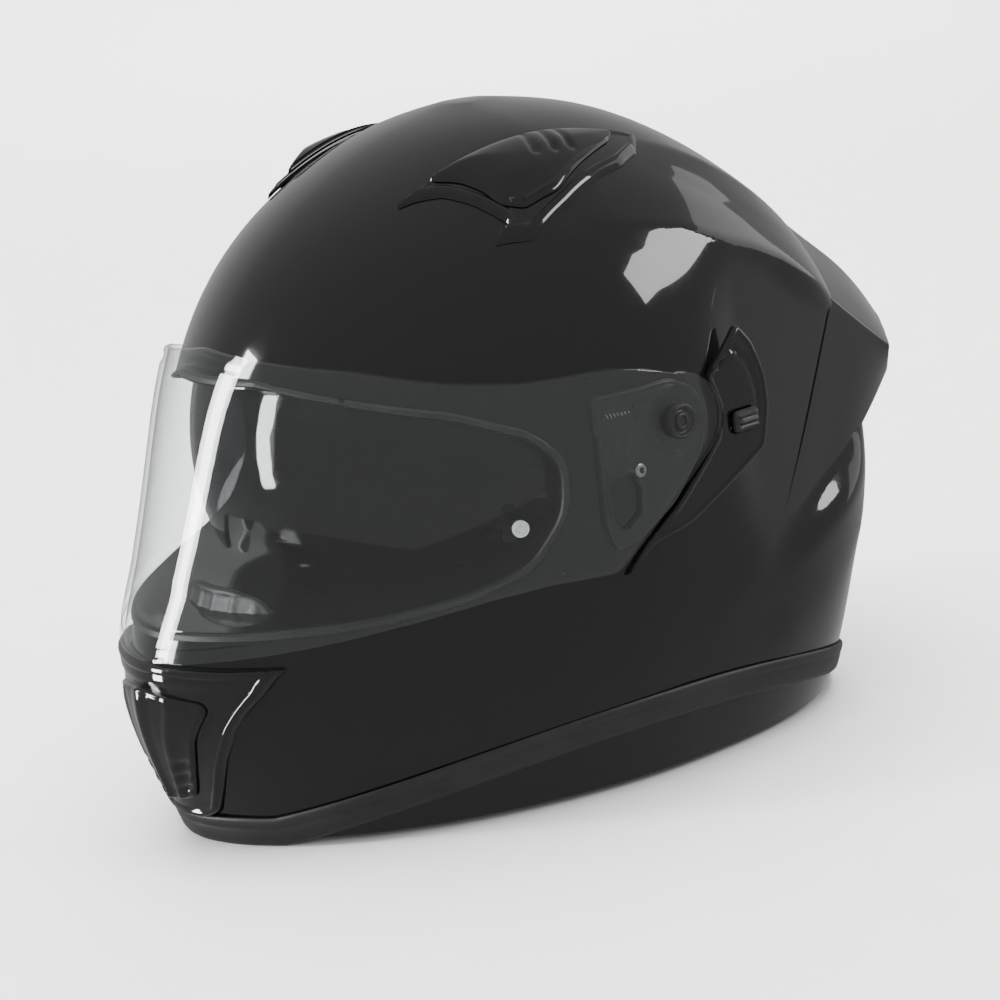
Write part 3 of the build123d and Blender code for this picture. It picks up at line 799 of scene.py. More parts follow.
def flatten_side(points, deeper=0.0):
    """Presses the rear side between the shoulder fold and the lower fold on to one flat facet."""
    x, y, z = np.abs(points[:, 0]), points[:, 1], points[:, 2]
    beyond = x * FACET_NORMAL[0] + y * FACET_NORMAL[1] + z * FACET_NORMAL[2] - FACET_REACH + deeper
    push = 0.5 * (beyond + np.sqrt(beyond ** 2 + 4)) - 0.2
    shoulder = np.interp(y, [12, 46, 75, 113, 150], [216, 203.5, 189, 164, 137])
    lower = np.interp(y, [14, 46, 57, 107, 150], [61, 79, 84, 104, 126])
    band = smooth_step((shoulder + 3 - z) / 9) * smooth_step((z - lower + 16) / 20)
    band = band * smooth_step((y - 2) / 45)
    move = np.maximum(push * band, 0)[:, None] * FACET_NORMAL
    move[:, 0] *= np.sign(points[:, 0])
    return points - move


print("the facet's plane is", FACET_REACH, "mm from the drawing's origin")

# %% [markdown]
# The shell's sheet has its rows closer together where the profile turns, and enough columns for the folds
# to stay crisp. Each point moves out along its own normal by the height of the folds there.

# %% Shell surface
AROUND, UPWARD = 330, 144


def shell_sheet(name, out, folds, low=-4.0, around=AROUND, upward=UPWARD):
    """The whole form as one sheet of quads from below the neck to the crown, open at the bottom."""
    length = np.concatenate([[0], np.cumsum(np.hypot(np.diff(profile[:, 0]), np.diff(profile[:, 1])))])
    share = np.linspace(0, 1, upward)
    heights = np.interp(share * length[-1], length, profile[:, 0])
    heights = heights + out * np.maximum(heights - DOME_Z, 0) / (HEIGHT - DOME_Z)
    heights = np.concatenate([[low], heights[1:]])
    turn = np.linspace(-pi, pi, around, endpoint=False)
    grid_turn, grid_z = np.meshgrid(turn, heights)
    points = turn_point(grid_turn, grid_z, out).reshape(-1, 3)
    if folds:
        grid = points.reshape(upward, around, 3)
        around_step = np.roll(grid, -1, 1) - np.roll(grid, 1, 1)
        up_step = np.gradient(grid, axis=0)
        normal = np.cross(around_step, up_step).reshape(-1, 3)
        normal /= np.linalg.norm(normal, axis=1)[:, None] + 1e-9
        outward = np.sign(np.sum(normal * (points - FORM_MIDDLE), axis=1))[:, None]
        points = flatten_side(points) + normal * outward * fold_height(points)[:, None]
    index = np.arange(upward * around).reshape(upward, around)
    nxt = np.roll(index, -1, axis=1)
    faces = np.stack([index[:-1], nxt[:-1], nxt[1:], index[1:]], -1).reshape(-1, 4)
    crown = len(points)
    points = np.vstack([points, [[0, WAIST_Y, heights[-1] + 0.1]]])
    cap = [(index[-1, i], nxt[-1, i], crown) for i in range(around)]
    return make_object(name, points, [tuple(f) for f in faces] + cap)


print("shell grid:", AROUND, "x", UPWARD)

# %% [markdown]
# The eye port and the neck are cut, as a router cuts them, by straight bars that run right through. Baking
# a modifier at once keeps the finished piece a plain mesh.

# %% Cutting tools
def prism(name, outline, axis, start, end):
    """A closed bar whose section is the outline; axis 0 runs along X (y, z), 1 along Y (x, z), 2 along Z."""
    outline = np.asarray(outline, float)
    columns = [k for k in range(3) if k != axis]
    ends = []
    for depth in (start, end):
        ring = np.zeros((len(outline), 3))
        ring[:, columns[0]], ring[:, columns[1]], ring[:, axis] = outline[:, 0], outline[:, 1], depth
        ends.append(ring)
    n = len(outline)
    faces = [tuple(range(n)), tuple(range(2 * n - 1, n - 1, -1))]
    faces += [(i, i + n, (i + 1) % n + n, (i + 1) % n) for i in range(n)]
    return face_outwards(make_object(name, np.vstack(ends), faces, smooth=False))


def cut(piece, tools, crease=32):
    """Takes the tools away from the piece and removes them."""
    for tool in tools:
        boolean = piece.modifiers.new("cut", "BOOLEAN")
        boolean.object, boolean.solver, boolean.operation = tool, "EXACT", "DIFFERENCE"
    bake(piece)
    for tool in tools:
        bpy.data.objects.remove(tool)
    return piece


def bake(piece):
    """Replaces the mesh by what its modifiers make of it."""
    graph = bpy.context.evaluated_depsgraph_get()
    mesh = bpy.data.meshes.new_from_object(piece.evaluated_get(graph))
    piece.modifiers.clear()
    piece.data = mesh
    return piece


def thicken(piece, depth, bevel=0.0):
    solid = piece.modifiers.new("wall", "SOLIDIFY")
    solid.thickness, solid.offset = depth * MM, -1.0
    if bevel:
        edge = piece.modifiers.new("edge", "BEVEL")
        edge.width, edge.segments = bevel * MM, 2
        edge.limit_method, edge.angle_limit = "ANGLE", radians(50)
    return bake(piece)


print("tools ready")

# %% [markdown]
# The rim arches up between the chin and the nape, so that the helmet stands on its front and its rear. The
# arch is one large circle in side view, and the port is a wide opening with round corners.

# %% Shell
PORT = [(-205, 87), (-120, 91), (-88, 95), (-66, 102), (-52, 119), (-50, 138), (-60, 149), (-82, 159),
        (-125, 176), (-205, 176)]
ARCH_RADIUS, ARCH_Y, ARCH_Z = 382, -14, -357
BELOW = -30
SHELL_RIM = 3.0  # the shell ends this far above the edge of its rubber
arch = [
    (ARCH_Y + ARCH_RADIUS * sin(a), ARCH_Z + ARCH_RADIUS * cos(a) + SHELL_RIM)
    for a in np.linspace(-0.58, 0.58, 60)]
arch = [(-260, BELOW + SHELL_RIM)] + arch + [(260, BELOW + SHELL_RIM)]
level = [(-300, BELOW), (300, BELOW), (300, SHELL_RIM), (-300, SHELL_RIM)]

shell = shell_sheet("shell", 0.0, folds=True)
for tool_outline in (rounded(PORT, 6, 1.5), level, arch):
    cut(shell, [prism("tool", tool_outline, 0, -160, 160)])
face_outwards(shell, 30)
thicken(shell, 3.6, 0.5)
dress(shell, "helmet", "gloss_paint", GLOSS_PAINT, "outer_shell")
print("shell triangles:", sum(len(p.vertices) - 2 for p in shell.data.polygons))

# %% [markdown]
# The energy-absorbing foam lies right under the shell, so where the shell is pressed flat the foam is too.
# Its block comes from the frame and takes the same facet, a little deeper.

# %% Foam under the facet
foam = bpy.data.objects.new("foam", frame["nodes"]["eps_liner"].data.copy())
bpy.context.scene.collection.objects.link(foam)
foam_points = np.array([v.co for v in foam.data.vertices]) / MM - [0, CENTRING, 0]
pressed = flatten_side(foam_points, deeper=6.0)
foam.data.vertices.foreach_set("co", ((pressed + [0, CENTRING, 0]) * MM).ravel())
foam.data.update()
dress(foam, "helmet", "eps_foam", EPS_FOAM, "eps_liner")
print("foam moved by up to", round(float(np.abs(pressed - foam_points).max()), 1), "mm")

# %% [markdown]
# ## Visor
# The visor is drawn in side view and unrolled round the form, so one sheet runs from ear to ear. The top
# and the bottom of the drawing are plain runs of points, and the ear is an arc about the pivot.

# %% Visor outline
VISOR_TOP = [(-166, 191), (-150, 191), (-129, 190.5), (-106, 182), (-83, 174.5), (-60, 171), (-30, 171)]
VISOR_EAR = [(-3 + 19 * sin(a), 145 + 19 * cos(a)) for a in np.linspace(-0.2, 2.55, 16)]
VISOR_BOTTOM = [
    (-26, 99), (-35, 92), (-47, 92.5), (-61, 93), (-83, 91.5), (-111, 87.5), (-147, 82), (-172, 78)]
VISOR_OUT, VISOR_WALL, VISOR_FLARE = 3.0, 2.2, 3.0


def both_ways(half):
    """A half outline, from top centre round to bottom centre, with its mirror image."""
    half = np.asarray(half, float)
    return np.vstack([half, half[-2:0:-1] * [-1, 1]])


visor_half = unrolled(VISOR_TOP + [(-14, 167.5)] + VISOR_EAR[1:] + VISOR_BOTTOM, VISOR_OUT, VISOR_FLARE)
visor_half = np.vstack([[0, 191], visor_half[visor_half[:, 0] > 4], [0, 77.5]])
visor_outline = rounded(both_ways(visor_half), 3.0, 1.4)
print("visor outline:", len(visor_outline), "points")

# %% [markdown]
# The visor's rim is stepped down where the mould presses the sealing edge, and its two ears are stepped up
# where they ride on the base plates. Below each step a finger tab is pressed as an oval groove. The steps
# are height added to the sheet, so they bend the reflections as the real ones do.

# %% Visor
EAR_STEP = unrolled(
    [(-36, 176), (-38, 164), (-43, 140), (-48, 120), (-53, 108), (-58, 90)], VISOR_OUT, VISOR_FLARE)
TAB_AT = unrolled([(-51, 104)], VISOR_OUT, VISOR_FLARE)[0]
TAB_RING = np.array([
    (TAB_AT[0] + (5.0 + 1.2 * sin(a)) * cos(a), TAB_AT[1] + 8.5 * sin(a))
    for a in np.linspace(0, 2 * pi, 40)])
MIRROR = np.array([-1, 1])


def visor_relief(p, distance):
    rim = np.clip((6.0 - distance) / 1.0, 0, 1)
    second = np.clip((2.4 - distance) / 0.8, 0, 1)
    step_at = np.interp(p[:, 1], EAR_STEP[::-1, 1], EAR_STEP[::-1, 0])
    ear = np.clip((np.abs(p[:, 0]) - step_at) / 1.2 + 0.5, 0, 1)
    ear = ear * ear * (3 - 2 * ear)
    both_sides = np.stack([np.abs(p[:, 0]), p[:, 1]], -1)
    tab = np.full(len(p), 9.0)
    near = np.hypot(*(both_sides - TAB_AT).T) < 14
    tab[near] = edge_distance(both_sides[near], TAB_RING[:-1])
    groove = 0.5 * np.exp(-(tab / 0.8) ** 2)
    return -0.9 * rim * (1 - ear) + 0.6 * second * (1 - ear) + 0.5 * ear - groove


visor = plate(
    "visor", [visor_outline], lambda p, out: on_turn(p, out, VISOR_FLARE), VISOR_OUT + VISOR_WALL,
    base=VISOR_OUT, edge=0.7, spacing=2.6, lift=visor_relief, crease=25,
    rows=(0.35, 1.0, 1.6, 2.4, 3.4, 5.0, 6.0, 7.2),
    lines=[EAR_STEP, EAR_STEP * MIRROR, TAB_RING, TAB_RING * MIRROR])
dress(visor, "visor", "clear_visor", CLEAR_VISOR, "clear_visor")
print("visor faces:", len(visor.data.polygons))

# %% [markdown]
# The gasket is a rubber lip in the cut edge of the eye port, and the closed visor presses on it. It follows
# the port's own outline, so it is a thin plate between two copies of that outline, one a little larger.

# %% Gasket round the eye port
def port_loop(grow):
    """The eye port's edge moved outwards by grow, as a closed unrolled outline."""
    top = [(-166, 176 + grow), (-125, 176 + grow), (-82 + grow * 0.3, 159 + grow)]
    rear = [(-60 + grow * 0.7, 149 + grow * 0.7), (-50 + grow, 138), (-52 + grow, 119)]
    rear += [(-66 + grow * 0.7, 102 - grow * 0.7)]
    low = [(-88, 95 - grow), (-120, 91 - grow), (-150, 89.5 - grow)]
    half = unrolled(top + rear + low)
    half = np.vstack([[0, 176 + grow], half[half[:, 0] > 4], [0, 88.8 - grow]])
    return rounded(both_ways(half), 7.0, 1.5)


gasket = plate(
    "gasket", [port_loop(4.0), port_loop(0.3)], on_turn, 1.3, base=-4.6, edge=1.2, spacing=2.4,
    lift=lambda p, d: 0.4 * np.clip(1.4 - d, 0, 1), crease=45)
dress(gasket, "helmet", "edge_rubber", EDGE_RUBBER, "eyeport_gasket")
print("gasket faces:", len(gasket.data.polygons))

# %% [markdown]
# The neck edging is a rubber profile pushed over the cut edge of the shell, with a groove round its
# outside. Its section is drawn once and carried round the rim, row by row, at the height of the arch.

# %% Rubber edge of the neck
# (distance out of the form, height above the arch) round the section
TRIM_PROFILE = [
    (0.15, 12.4), (0.9, 12.7), (1.7, 12.2), (2.1, 11.2), (2.2, 9.0), (1.9, 8.5), (1.9, 8.1), (2.2, 7.6),
    (2.2, 2.4), (1.9, 1.2), (1.0, 0.25), (0.0, 0.0), (-3.5, 0.0), (-5.5, 0.4), (-6.6, 1.6), (-7.0, 3.2),
    (-7.0, 10.6), (-6.4, 11.6), (-4.4, 12.0)]


def arch_z(y):
    return np.maximum(np.sqrt(np.maximum(ARCH_RADIUS ** 2 - (y - ARCH_Y) ** 2, 0)) + ARCH_Z, 0.0)


trim_turn = np.linspace(-pi, pi, 360, endpoint=False)
foot = np.zeros(len(trim_turn))
for _ in range(12):
    foot = arch_z(turn_point(trim_turn, foot + 6)[:, 1])
trim_rows = [turn_point(trim_turn, foot + up, out) for out, up in TRIM_PROFILE]
count = len(trim_turn)
trim_faces = []
for r in range(len(TRIM_PROFILE)):
    here, above = r * count, ((r + 1) % len(TRIM_PROFILE)) * count
    for i in range(count):
        after = (i + 1) % count
        trim_faces.append((here + i, here + after, above + after, above + i))
trim = face_outwards(make_object("neck_edging", np.vstack(trim_rows), trim_faces), 50)
dress(trim, "helmet", "edge_rubber", EDGE_RUBBER, "rim_trim")
print("edging faces:", len(trim_faces))

# %% [markdown]
# ## Crown vents
# Each crown vent is a flat black base with a pointed tail, and over it a scoop that slides to close the
# intake. The base is drawn in plan and wrapped on the crown, with a fine raised line just inside its edge.

# %% Vent bases
VENT_BASE = [
    (46, -64), (47.5, -56), (49, -48), (52, -30), (56, -4), (59, 14), (61, 28), (64, 43), (73, 35),
    (79.5, 22), (88, -13), (90, -26), (90.5, -33), (86.5, -40), (83, -47), (82.5, -37), (68, -43), (57, -49),
    (50, -57)]
base_outline = rounded(VENT_BASE, 2.0, 1.3)
vent_base = plate(
    "vent_base_left", [base_outline], on_top, 2.2, base=0.3, edge=1.0, spacing=2.4,
    lift=lambda p, d: 0.5 * np.clip((3.0 - d) / 0.8, 0, 1) * np.clip((d - 0.8) / 0.6, 0, 1),
    rows=(0.35, 0.8, 1.4, 2.2, 3.0, 3.6))
dress(vent_base, "helmet", "gloss_black", GLOSS_BLACK, "top_vent_base_left")
vent_base_right = mirror_copy(vent_base, "vent_base_right")
dress(vent_base_right, "helmet", "gloss_black", GLOSS_BLACK, "top_vent_base_right")
print("vent base faces:", len(vent_base.data.polygons))

# %% [markdown]
# The scoop swells to its middle, opens forwards as a dark mouth, and has three slanted finger notches. Its
# height is a formula of the place in the plan, so the notches are real hollows in the mesh.

# %% Scoops
SCOOP = [
    (49.5, -50), (53, -28), (57, -4), (60.5, 14), (64, 31), (70, 24), (74, 14), (84.5, -14), (83.5, -30),
    (77, -37), (70, -38), (60, -42)]
NOTCHES = [((60, -9), (71, -13)), ((61.5, -1.5), (72, -4.5)), ((63, 5.5), (72, 3.5))]
SPINE = np.array([(66, -42), (71, -20), (70, 0), (66, 26)], float)


def scoop_relief(p, distance):
    """The scoop's swelling: full along its spine, falling to its outer flank, low at the tail."""
    ahead = np.clip((28 - p[:, 1]) / 62, 0, 1)
    swell = 5.6 * ahead ** 0.7 * (1 - np.exp(-distance / 6.5))
    ridge_x = np.interp(p[:, 1], SPINE[:, 1], SPINE[:, 0]) + 5.5
    flank = np.clip((p[:, 0] - ridge_x) / 9, 0, 1)
    height = swell * (1 - 0.55 * flank)
    for a, b in NOTCHES:
        a, b = np.array(a), np.array(b)
        t = np.clip((p - a) @ (b - a) / ((b - a) @ (b - a)), 0, 1)
        gap = np.linalg.norm(p - a - t[:, None] * (b - a), axis=1)
        height = height - 1.5 * np.exp(-(gap / 1.5) ** 2) * (0.4 + 0.6 * t)
    return height


scoop = plate(
    "vent_scoop_left", [rounded(SCOOP, 2.5, 1.1)], on_top, 3.4, base=2.7, edge=0.9, spacing=1.3,
    lift=scoop_relief, crease=50)
dress(scoop, "vent_left", "gloss_black", GLOSS_BLACK, "top_vent_slider_left")
scoop_right = mirror_copy(scoop, "vent_scoop_right")
dress(scoop_right, "vent_right", "gloss_black", GLOSS_BLACK, "top_vent_slider_right")
print("scoop faces:", len(scoop.data.polygons))

# %% [markdown]
# The scoop stands on a thin wall along its outer and inner edges; its front is left open, and a dark grille
# fills the intake behind the lip.

# %% Scoop walls and intake grille
def skirt(name, line, low, high, wall=1.4):
    """A thin wall standing on the form under a line of the plan, from low to high (lists of heights)."""
    line = divided(line, 1.4, closed=False)
    share = np.linspace(0, 1, len(line))
    bottom = np.interp(share, np.linspace(0, 1, len(low)), low)
    top = np.interp(share, np.linspace(0, 1, len(high)), high)
    half_wall = sideways(line) * wall / 2
    outer, inner = line + half_wall, line - half_wall
    rows = [on_top(outer, bottom), on_top(outer, top), on_top(inner, top), on_top(inner, bottom)]
    n = len(line)
    faces = []
    for r in range(4):
        a, b = r * n, ((r + 1) % 4) * n
        faces += [(a + i, a + i + 1, b + i + 1, b + i) for i in range(n - 1)]
    faces += [(0, n, 2 * n, 3 * n), (n - 1, 4 * n - 1, 3 * n - 1, 2 * n - 1)]
    return face_outwards(make_object(name, np.vstack(rows), faces), 40)


def joined(name, pieces):
    """Several meshes as one piece; the single ones are removed."""
    bm = bmesh.new()
    for piece in pieces:
        bm.from_mesh(piece.data)
    mesh = bpy.data.meshes.new(name)
    bm.to_mesh(mesh)
    bm.free()
    for piece in pieces:
        bpy.data.objects.remove(piece)
    whole = bpy.data.objects.new(name, mesh)
    bpy.context.scene.collection.objects.link(whole)
    return whole


WALL_LOW, WALL_HIGH = [2.6] * 5, [4.5, 4.6, 4.4, 3.8, 3.0]
INNER_WALL = [(51.5, -46), (54.5, -28), (58.5, -4), (61.5, 12), (64, 24)]
OUTER_WALL = [(82.2, -29), (82.8, -14), (76, 6), (72, 16), (66, 26)]
walls = joined("scoop_wall_left", [
    skirt("inner_wall", INNER_WALL, WALL_LOW, WALL_HIGH),
    skirt("outer_wall", OUTER_WALL, WALL_LOW, WALL_HIGH)])
dress(walls, "vent_left", "gloss_black", GLOSS_BLACK)
walls_right = mirror_copy(walls, "scoop_wall_right")
dress(walls_right, "vent_right", "gloss_black", GLOSS_BLACK)
BARS, BAR_PITCH = 7, (4.2, 0.9)
bar_pieces = []
for k in range(BARS):
    x, y = 54 + BAR_PITCH[0] * k, -39 + BAR_PITCH[1] * k
    bar_pieces.append(skirt(f"bar_{k}", [(x, y), (x + 0.6, y + 9)], [2.3, 2.3], [4.2, 4.2], wall=1.0))
bars = joined("intake_grille_left", bar_pieces)
dress(bars, "helmet", "satin_black", SATIN_BLACK)
bars_right = mirror_copy(bars, "intake_grille_right")
dress(bars_right, "helmet", "satin_black", SATIN_BLACK)
print("intake bars:", BARS)

# %% [markdown]
# ## Chin vent
# The chin's black base is a shield that narrows downwards, with a raised lip round it, a hollow for the
# shutter and a ledge under the visor. It is drawn in front view and wrapped on the chin.

# %% Chin base
CHIN_BASE = [
    (0, 77), (57, 76), (50, 66), (43, 58), (38, 51), (35, 45), (31, 38), (24, 24), (19, 15), (12, 12),
    (0, 12)]
chin_outline = rounded(both_ways(CHIN_BASE), 2.0, 1.3)


def chin_relief(p, distance):
    lip = 0.9 * np.clip((3.2 - distance) / 0.9, 0, 1)
    ledge = 1.4 * np.clip((p[:, 1] - 68) / 2.5, 0, 1) * np.clip((60 - np.abs(p[:, 0])) / 20, 0, 1)
    hollow = -1.0 * np.clip(distance / 8, 0, 1) * np.clip((66 - p[:, 1]) / 6, 0, 1)
    return lip + ledge + hollow


chin_base = plate(
    "chin_base", [chin_outline], on_front, 2.6, base=0.3, edge=1.1, spacing=1.9, lift=chin_relief,
    rows=(0.35, 0.9, 1.8, 2.6, 3.4))
dress(chin_base, "helmet", "gloss_black", GLOSS_BLACK, "chin_vent_base")
print("chin base faces:", len(chin_base.data.polygons))

# %% [markdown]
# The shutter in front of the base slides down to close the intake. It has a keel down its middle, a facet
# on either side and three finger notches beside the keel, all as height over the flat drawing.

# %% Chin shutter
SHUTTER = [
    (0, 68), (29, 63.5), (31, 60), (27, 54), (23, 48), (20, 39), (15, 27), (12.5, 22), (6, 20), (0, 20)]


def shutter_relief(p, distance):
    x, z = np.abs(p[:, 0]), p[:, 1]
    keel = 2.6 * np.clip(1 - x / (4 + 0.22 * (z - 20)), 0, 1)
    edge_in = np.interp(z, [20, 39, 48, 60, 68], [9, 16, 19, 26, 24])
    facet = 1.5 * np.clip(1 - np.abs(x - edge_in * 0.62) / (edge_in * 0.38), 0, 1)
    height = keel + facet
    for k in range(3):
        spot = np.array([10.4 + 1.6 * k, 26 + 5.6 * k])
        gap = np.hypot((x - spot[0]) / 3.6, (z - spot[1] - 0.35 * (x - spot[0])) / 1.2)
        height = height - 1.4 * np.exp(-gap ** 2)
    return height


shutter = plate(
    "chin_shutter", [rounded(both_ways(SHUTTER), 1.6, 1.1)], on_front, 3.8, base=2.3, edge=0.8, spacing=1.3,
    lift=shutter_relief, crease=50)
dress(shutter, "chin_shutter", "gloss_black", GLOSS_BLACK, "chin_vent_shutter")
print("shutter faces:", len(shutter.data.polygons))

# %% [markdown]
# ## Spoiler at the tail
# The spoiler is a separate moulding bonded to the back of the shell along a fine seam. It carries the crown
# folds and the shoulder folds on to a blunt tail, with flat facets between them. Its edges are drawn first,
# as lines in space on the rider's left.

# %% Edges of the spoiler
CENTRE_LINE = [(0, 120, 199), (0, 132, 191), (0, 148, 177), (0, 165, 160), (0, 174, 148)]
CROWN_LINE = [(70, 107, 199), (65.5, 125, 186), (60, 146, 171), (57.5, 160, 157), (56, 168, 147)]
SHOULDER_LINE = [(92.0, 112, 165.5), (87.5, 131, 151), (83, 150, 137)]
LOWER_LINE = [
    (116.7, 48, 83), (113, 60, 86.5), (105, 85, 95), (98, 107, 104), (89, 130, 115), (80, 150, 126)]
SEAM_TOP = [(0, 120, 199), (36, 116, 199.5), (70, 107, 199)]
SEAM_SHOULDER = [(70, 107, 199), (82, 109, 183), (92, 112, 165.5)]
SEAM_SIDE = [(92, 112, 165.5), (97.5, 98, 146), (103.8, 82, 124), (109.5, 67, 105), (116.7, 48, 83)]
TAIL_TOP = [(0, 174, 148), (30, 172.5, 148), (56, 168, 147)]
TAIL_SHOULDER = [(56, 168, 147), (70, 159.5, 142), (83, 150, 137)]
TAIL_SIDE = [(83, 150, 137), (80, 150, 126)]
TAIL_LOW = [(0, 172, 133), (34, 170, 133), (60, 160, 130), (80, 150, 126)]
UNDER_FRONT = [(0, 128, 96), (60, 122, 90), (90, 100, 88), (104, 70, 84), (116.7, 48, 83)]
print("spoiler's tail is", TAIL_TOP[0][1] + CENTRING, "mm behind the middle")

# %% [markdown]
# Each facet is a smooth patch stretched between four of those edges. Patches that share an edge share its
# points, so they close into one skin with a crease exactly on the edge.

# %% Patches between edges
def along(line, count):
    """A line of points evenly divided and slightly smoothed."""
    line = np.array(line, float)
    length = np.concatenate([[0], np.cumsum(np.linalg.norm(np.diff(line, axis=0), axis=1))])
    even = np.linspace(0, length[-1], count)
    if len(line) > 2:
        return smooth_through(length, line, even)
    return np.stack([np.interp(even, length, line[:, k]) for k in range(3)], -1)


def patch(near, far, low, high, across, lengthwise):
    """A smooth patch between four lines: near and far run across, low and high run lengthwise."""
    near, far = along(near, across)[:, None], along(far, across)[:, None]
    low, high = along(low, lengthwise)[None], along(high, lengthwise)[None]
    u, v = np.linspace(0, 1, across)[:, None, None], np.linspace(0, 1, lengthwise)[None, :, None]
    near_corners = (1 - u) * (1 - v) * low[:, :1] + u * (1 - v) * high[:, :1]
    far_corners = (1 - u) * v * low[:, -1:] + u * v * high[:, -1:]
    corners = near_corners + far_corners
    return (1 - v) * near + v * far + (1 - u) * low + u * high - corners


patches = [
    patch(SEAM_TOP, TAIL_TOP, CENTRE_LINE, CROWN_LINE, 15, 26),
    patch(SEAM_SHOULDER, TAIL_SHOULDER, CROWN_LINE, SHOULDER_LINE, 15, 26),
    patch(SEAM_SIDE, TAIL_SIDE, SHOULDER_LINE, LOWER_LINE, 25, 26),
    patch(CENTRE_LINE[-1:] + TAIL_LOW[:1], TAIL_SIDE, TAIL_TOP + TAIL_SHOULDER[1:], TAIL_LOW, 6, 20),
    patch(TAIL_LOW, UNDER_FRONT, [TAIL_LOW[0], UNDER_FRONT[0]], LOWER_LINE[::-1], 16, 26)]
print("patches on each side:", len(patches))

# %% [markdown]
# The patches and their mirror images are sewn together, moved out a hair so that they lie on the shell,
# given a small round on every crease, and thickened inwards to the wall of a moulding.

# %% Spoiler
tail_points, tail_faces = [], []
for grid in patches:
    start = sum(len(p) for p in tail_points)
    rows, columns = grid.shape[:2]
    for sign in (1, -1):
        first = start + (0 if sign == 1 else rows * columns)
        tail_points.append(grid.reshape(-1, 3) * [sign, 1, 1])
        for i in range(rows - 1):
            for j in range(columns - 1):
                a = first + i * columns + j
                tail_faces.append((a, a + 1, a + columns + 1, a + columns))
spoiler = make_object("spoiler", np.vstack(tail_points), tail_faces)
spoiler_bm = bmesh.new()
spoiler_bm.from_mesh(spoiler.data)
bmesh.ops.remove_doubles(spoiler_bm, verts=spoiler_bm.verts, dist=0.3 * MM)
bmesh.ops.recalc_face_normals(spoiler_bm, faces=spoiler_bm.faces)
for vertex in spoiler_bm.verts:
    vertex.co += vertex.normal * 0.6 * MM
spoiler_bm.to_mesh(spoiler.data)
spoiler_bm.free()
edge = spoiler.modifiers.new("edge", "BEVEL")
edge.width, edge.segments = 1.4 * MM, 3
edge.limit_method, edge.angle_limit = "ANGLE", radians(16)
wall = spoiler.modifiers.new("wall", "SOLIDIFY")
wall.thickness, wall.offset = 2.0 * MM, -1.0
bake(spoiler)
spoiler.data.shade_smooth()
face_outwards(spoiler, 50)
dress(spoiler, "helmet", "gloss_paint", GLOSS_PAINT, "rear_spoiler")
print("spoiler faces:", len(spoiler.data.polygons))

# %% [markdown]
# ## Side fittings
# Behind each visor ear sits a crescent of gloss trim with a raised rim, a fine groove for the lever's
# travel and a recess round the lever. All three are worked from the place in the side view.

# %% Ear trim
EAR = [
    (35, 174), (41, 166), (45, 152), (45, 140), (41, 124), (17, 111), (1, 103), (-17, 99), (-27, 91),
    (-31, 88.5), (-21, 100), (-5, 112.5), (10, 127), (16.5, 134), (18.5, 145), (15, 157)]
TRACK = [(17, 157), (31, 166), (36.5, 158), (39.5, 147), (39, 138)]


def ear_relief(p, distance):
    rim = 0.8 * np.clip((2.6 - distance) / 0.8, 0, 1)
    line = divided(TRACK, 1.0, closed=False)
    gap = np.min(np.linalg.norm(p[:, None, :] - line[None], axis=2), axis=1)
    groove = -0.9 * np.exp(-(gap / 0.8) ** 2)
    slot_y, slot_z = p[:, 0] - 31, p[:, 1] - 137
    window = -1.2 * (np.abs(slot_y) < 6.5) * (np.abs(slot_z) < 3.4)
    return rim + groove + window


ear = plate(
    "ear_trim_left", [rounded(EAR, 2.0, 1.2)], on_side, 2.3, base=0.3, edge=0.9, spacing=1.5,
    lift=ear_relief, crease=45, rows=(0.35, 0.9, 1.8, 2.6, 3.2))
dress(ear, "helmet", "gloss_black", GLOSS_BLACK, "side_trim_left")
ear_right = mirror_copy(ear, "ear_trim_right")
dress(ear_right, "helmet", "gloss_black", GLOSS_BLACK, "side_trim_right")
print("ear trim faces:", len(ear.data.polygons))

# %% [markdown]
# Under the clear ear is the base plate: a satin plate with a window for the latch, slanted stiffening ribs
# and a raised ring round the boss. The window is a second outline that the triangles leave open.

# %% Base plate
PLATE = [(-36, 160), (-37, 112), (-33, 99), (-23, 102), (-6, 113), (9, 131), (13, 145), (8, 156), (-2, 161)]
WINDOW = [(-33, 127), (-24, 129), (-21, 122), (-22, 112), (-29, 107), (-33, 112)]


def base_relief(p, distance):
    rim = 0.5 * np.clip((1.8 - distance) / 0.6, 0, 1)
    slope = 0.0
    for offset in (0.0, 5.0, 10.0):
        line = np.abs((p[:, 0] + 26 + offset * 0.2) - 0.25 * (p[:, 1] - 150) + offset - 4)
        slope = slope + 0.5 * np.exp(-(line / 0.8) ** 2) * (p[:, 1] < 148) * (p[:, 1] > 128)
    ring = np.abs(np.hypot(p[:, 0] + 3, p[:, 1] - 145) - 12.5)
    return np.clip(rim + slope + 0.6 * np.exp(-(ring / 0.9) ** 2), 0, 0.7) - 0.1


base_plate = plate(
    "base_fitting_left", [rounded(PLATE, 3.0, 1.1), rounded(WINDOW, 1.5, 1.0)], on_side, 2.1, base=0.2,
    edge=0.6, spacing=1.4, lift=base_relief, crease=40)
dress(base_plate, "helmet", "satin_black", SATIN_BLACK, "base_plate_left")
base_plate_right = mirror_copy(base_plate, "base_fitting_right")
dress(base_plate_right, "helmet", "satin_black", SATIN_BLACK, "base_plate_right")
print("base plate faces:", len(base_plate.data.polygons))

# %% [markdown]
# ## Turned parts
# The visor turns on a round boss with a raised ring and a domed middle. Anything round is drawn as a
# profile and turned about its axis, as on a lathe.

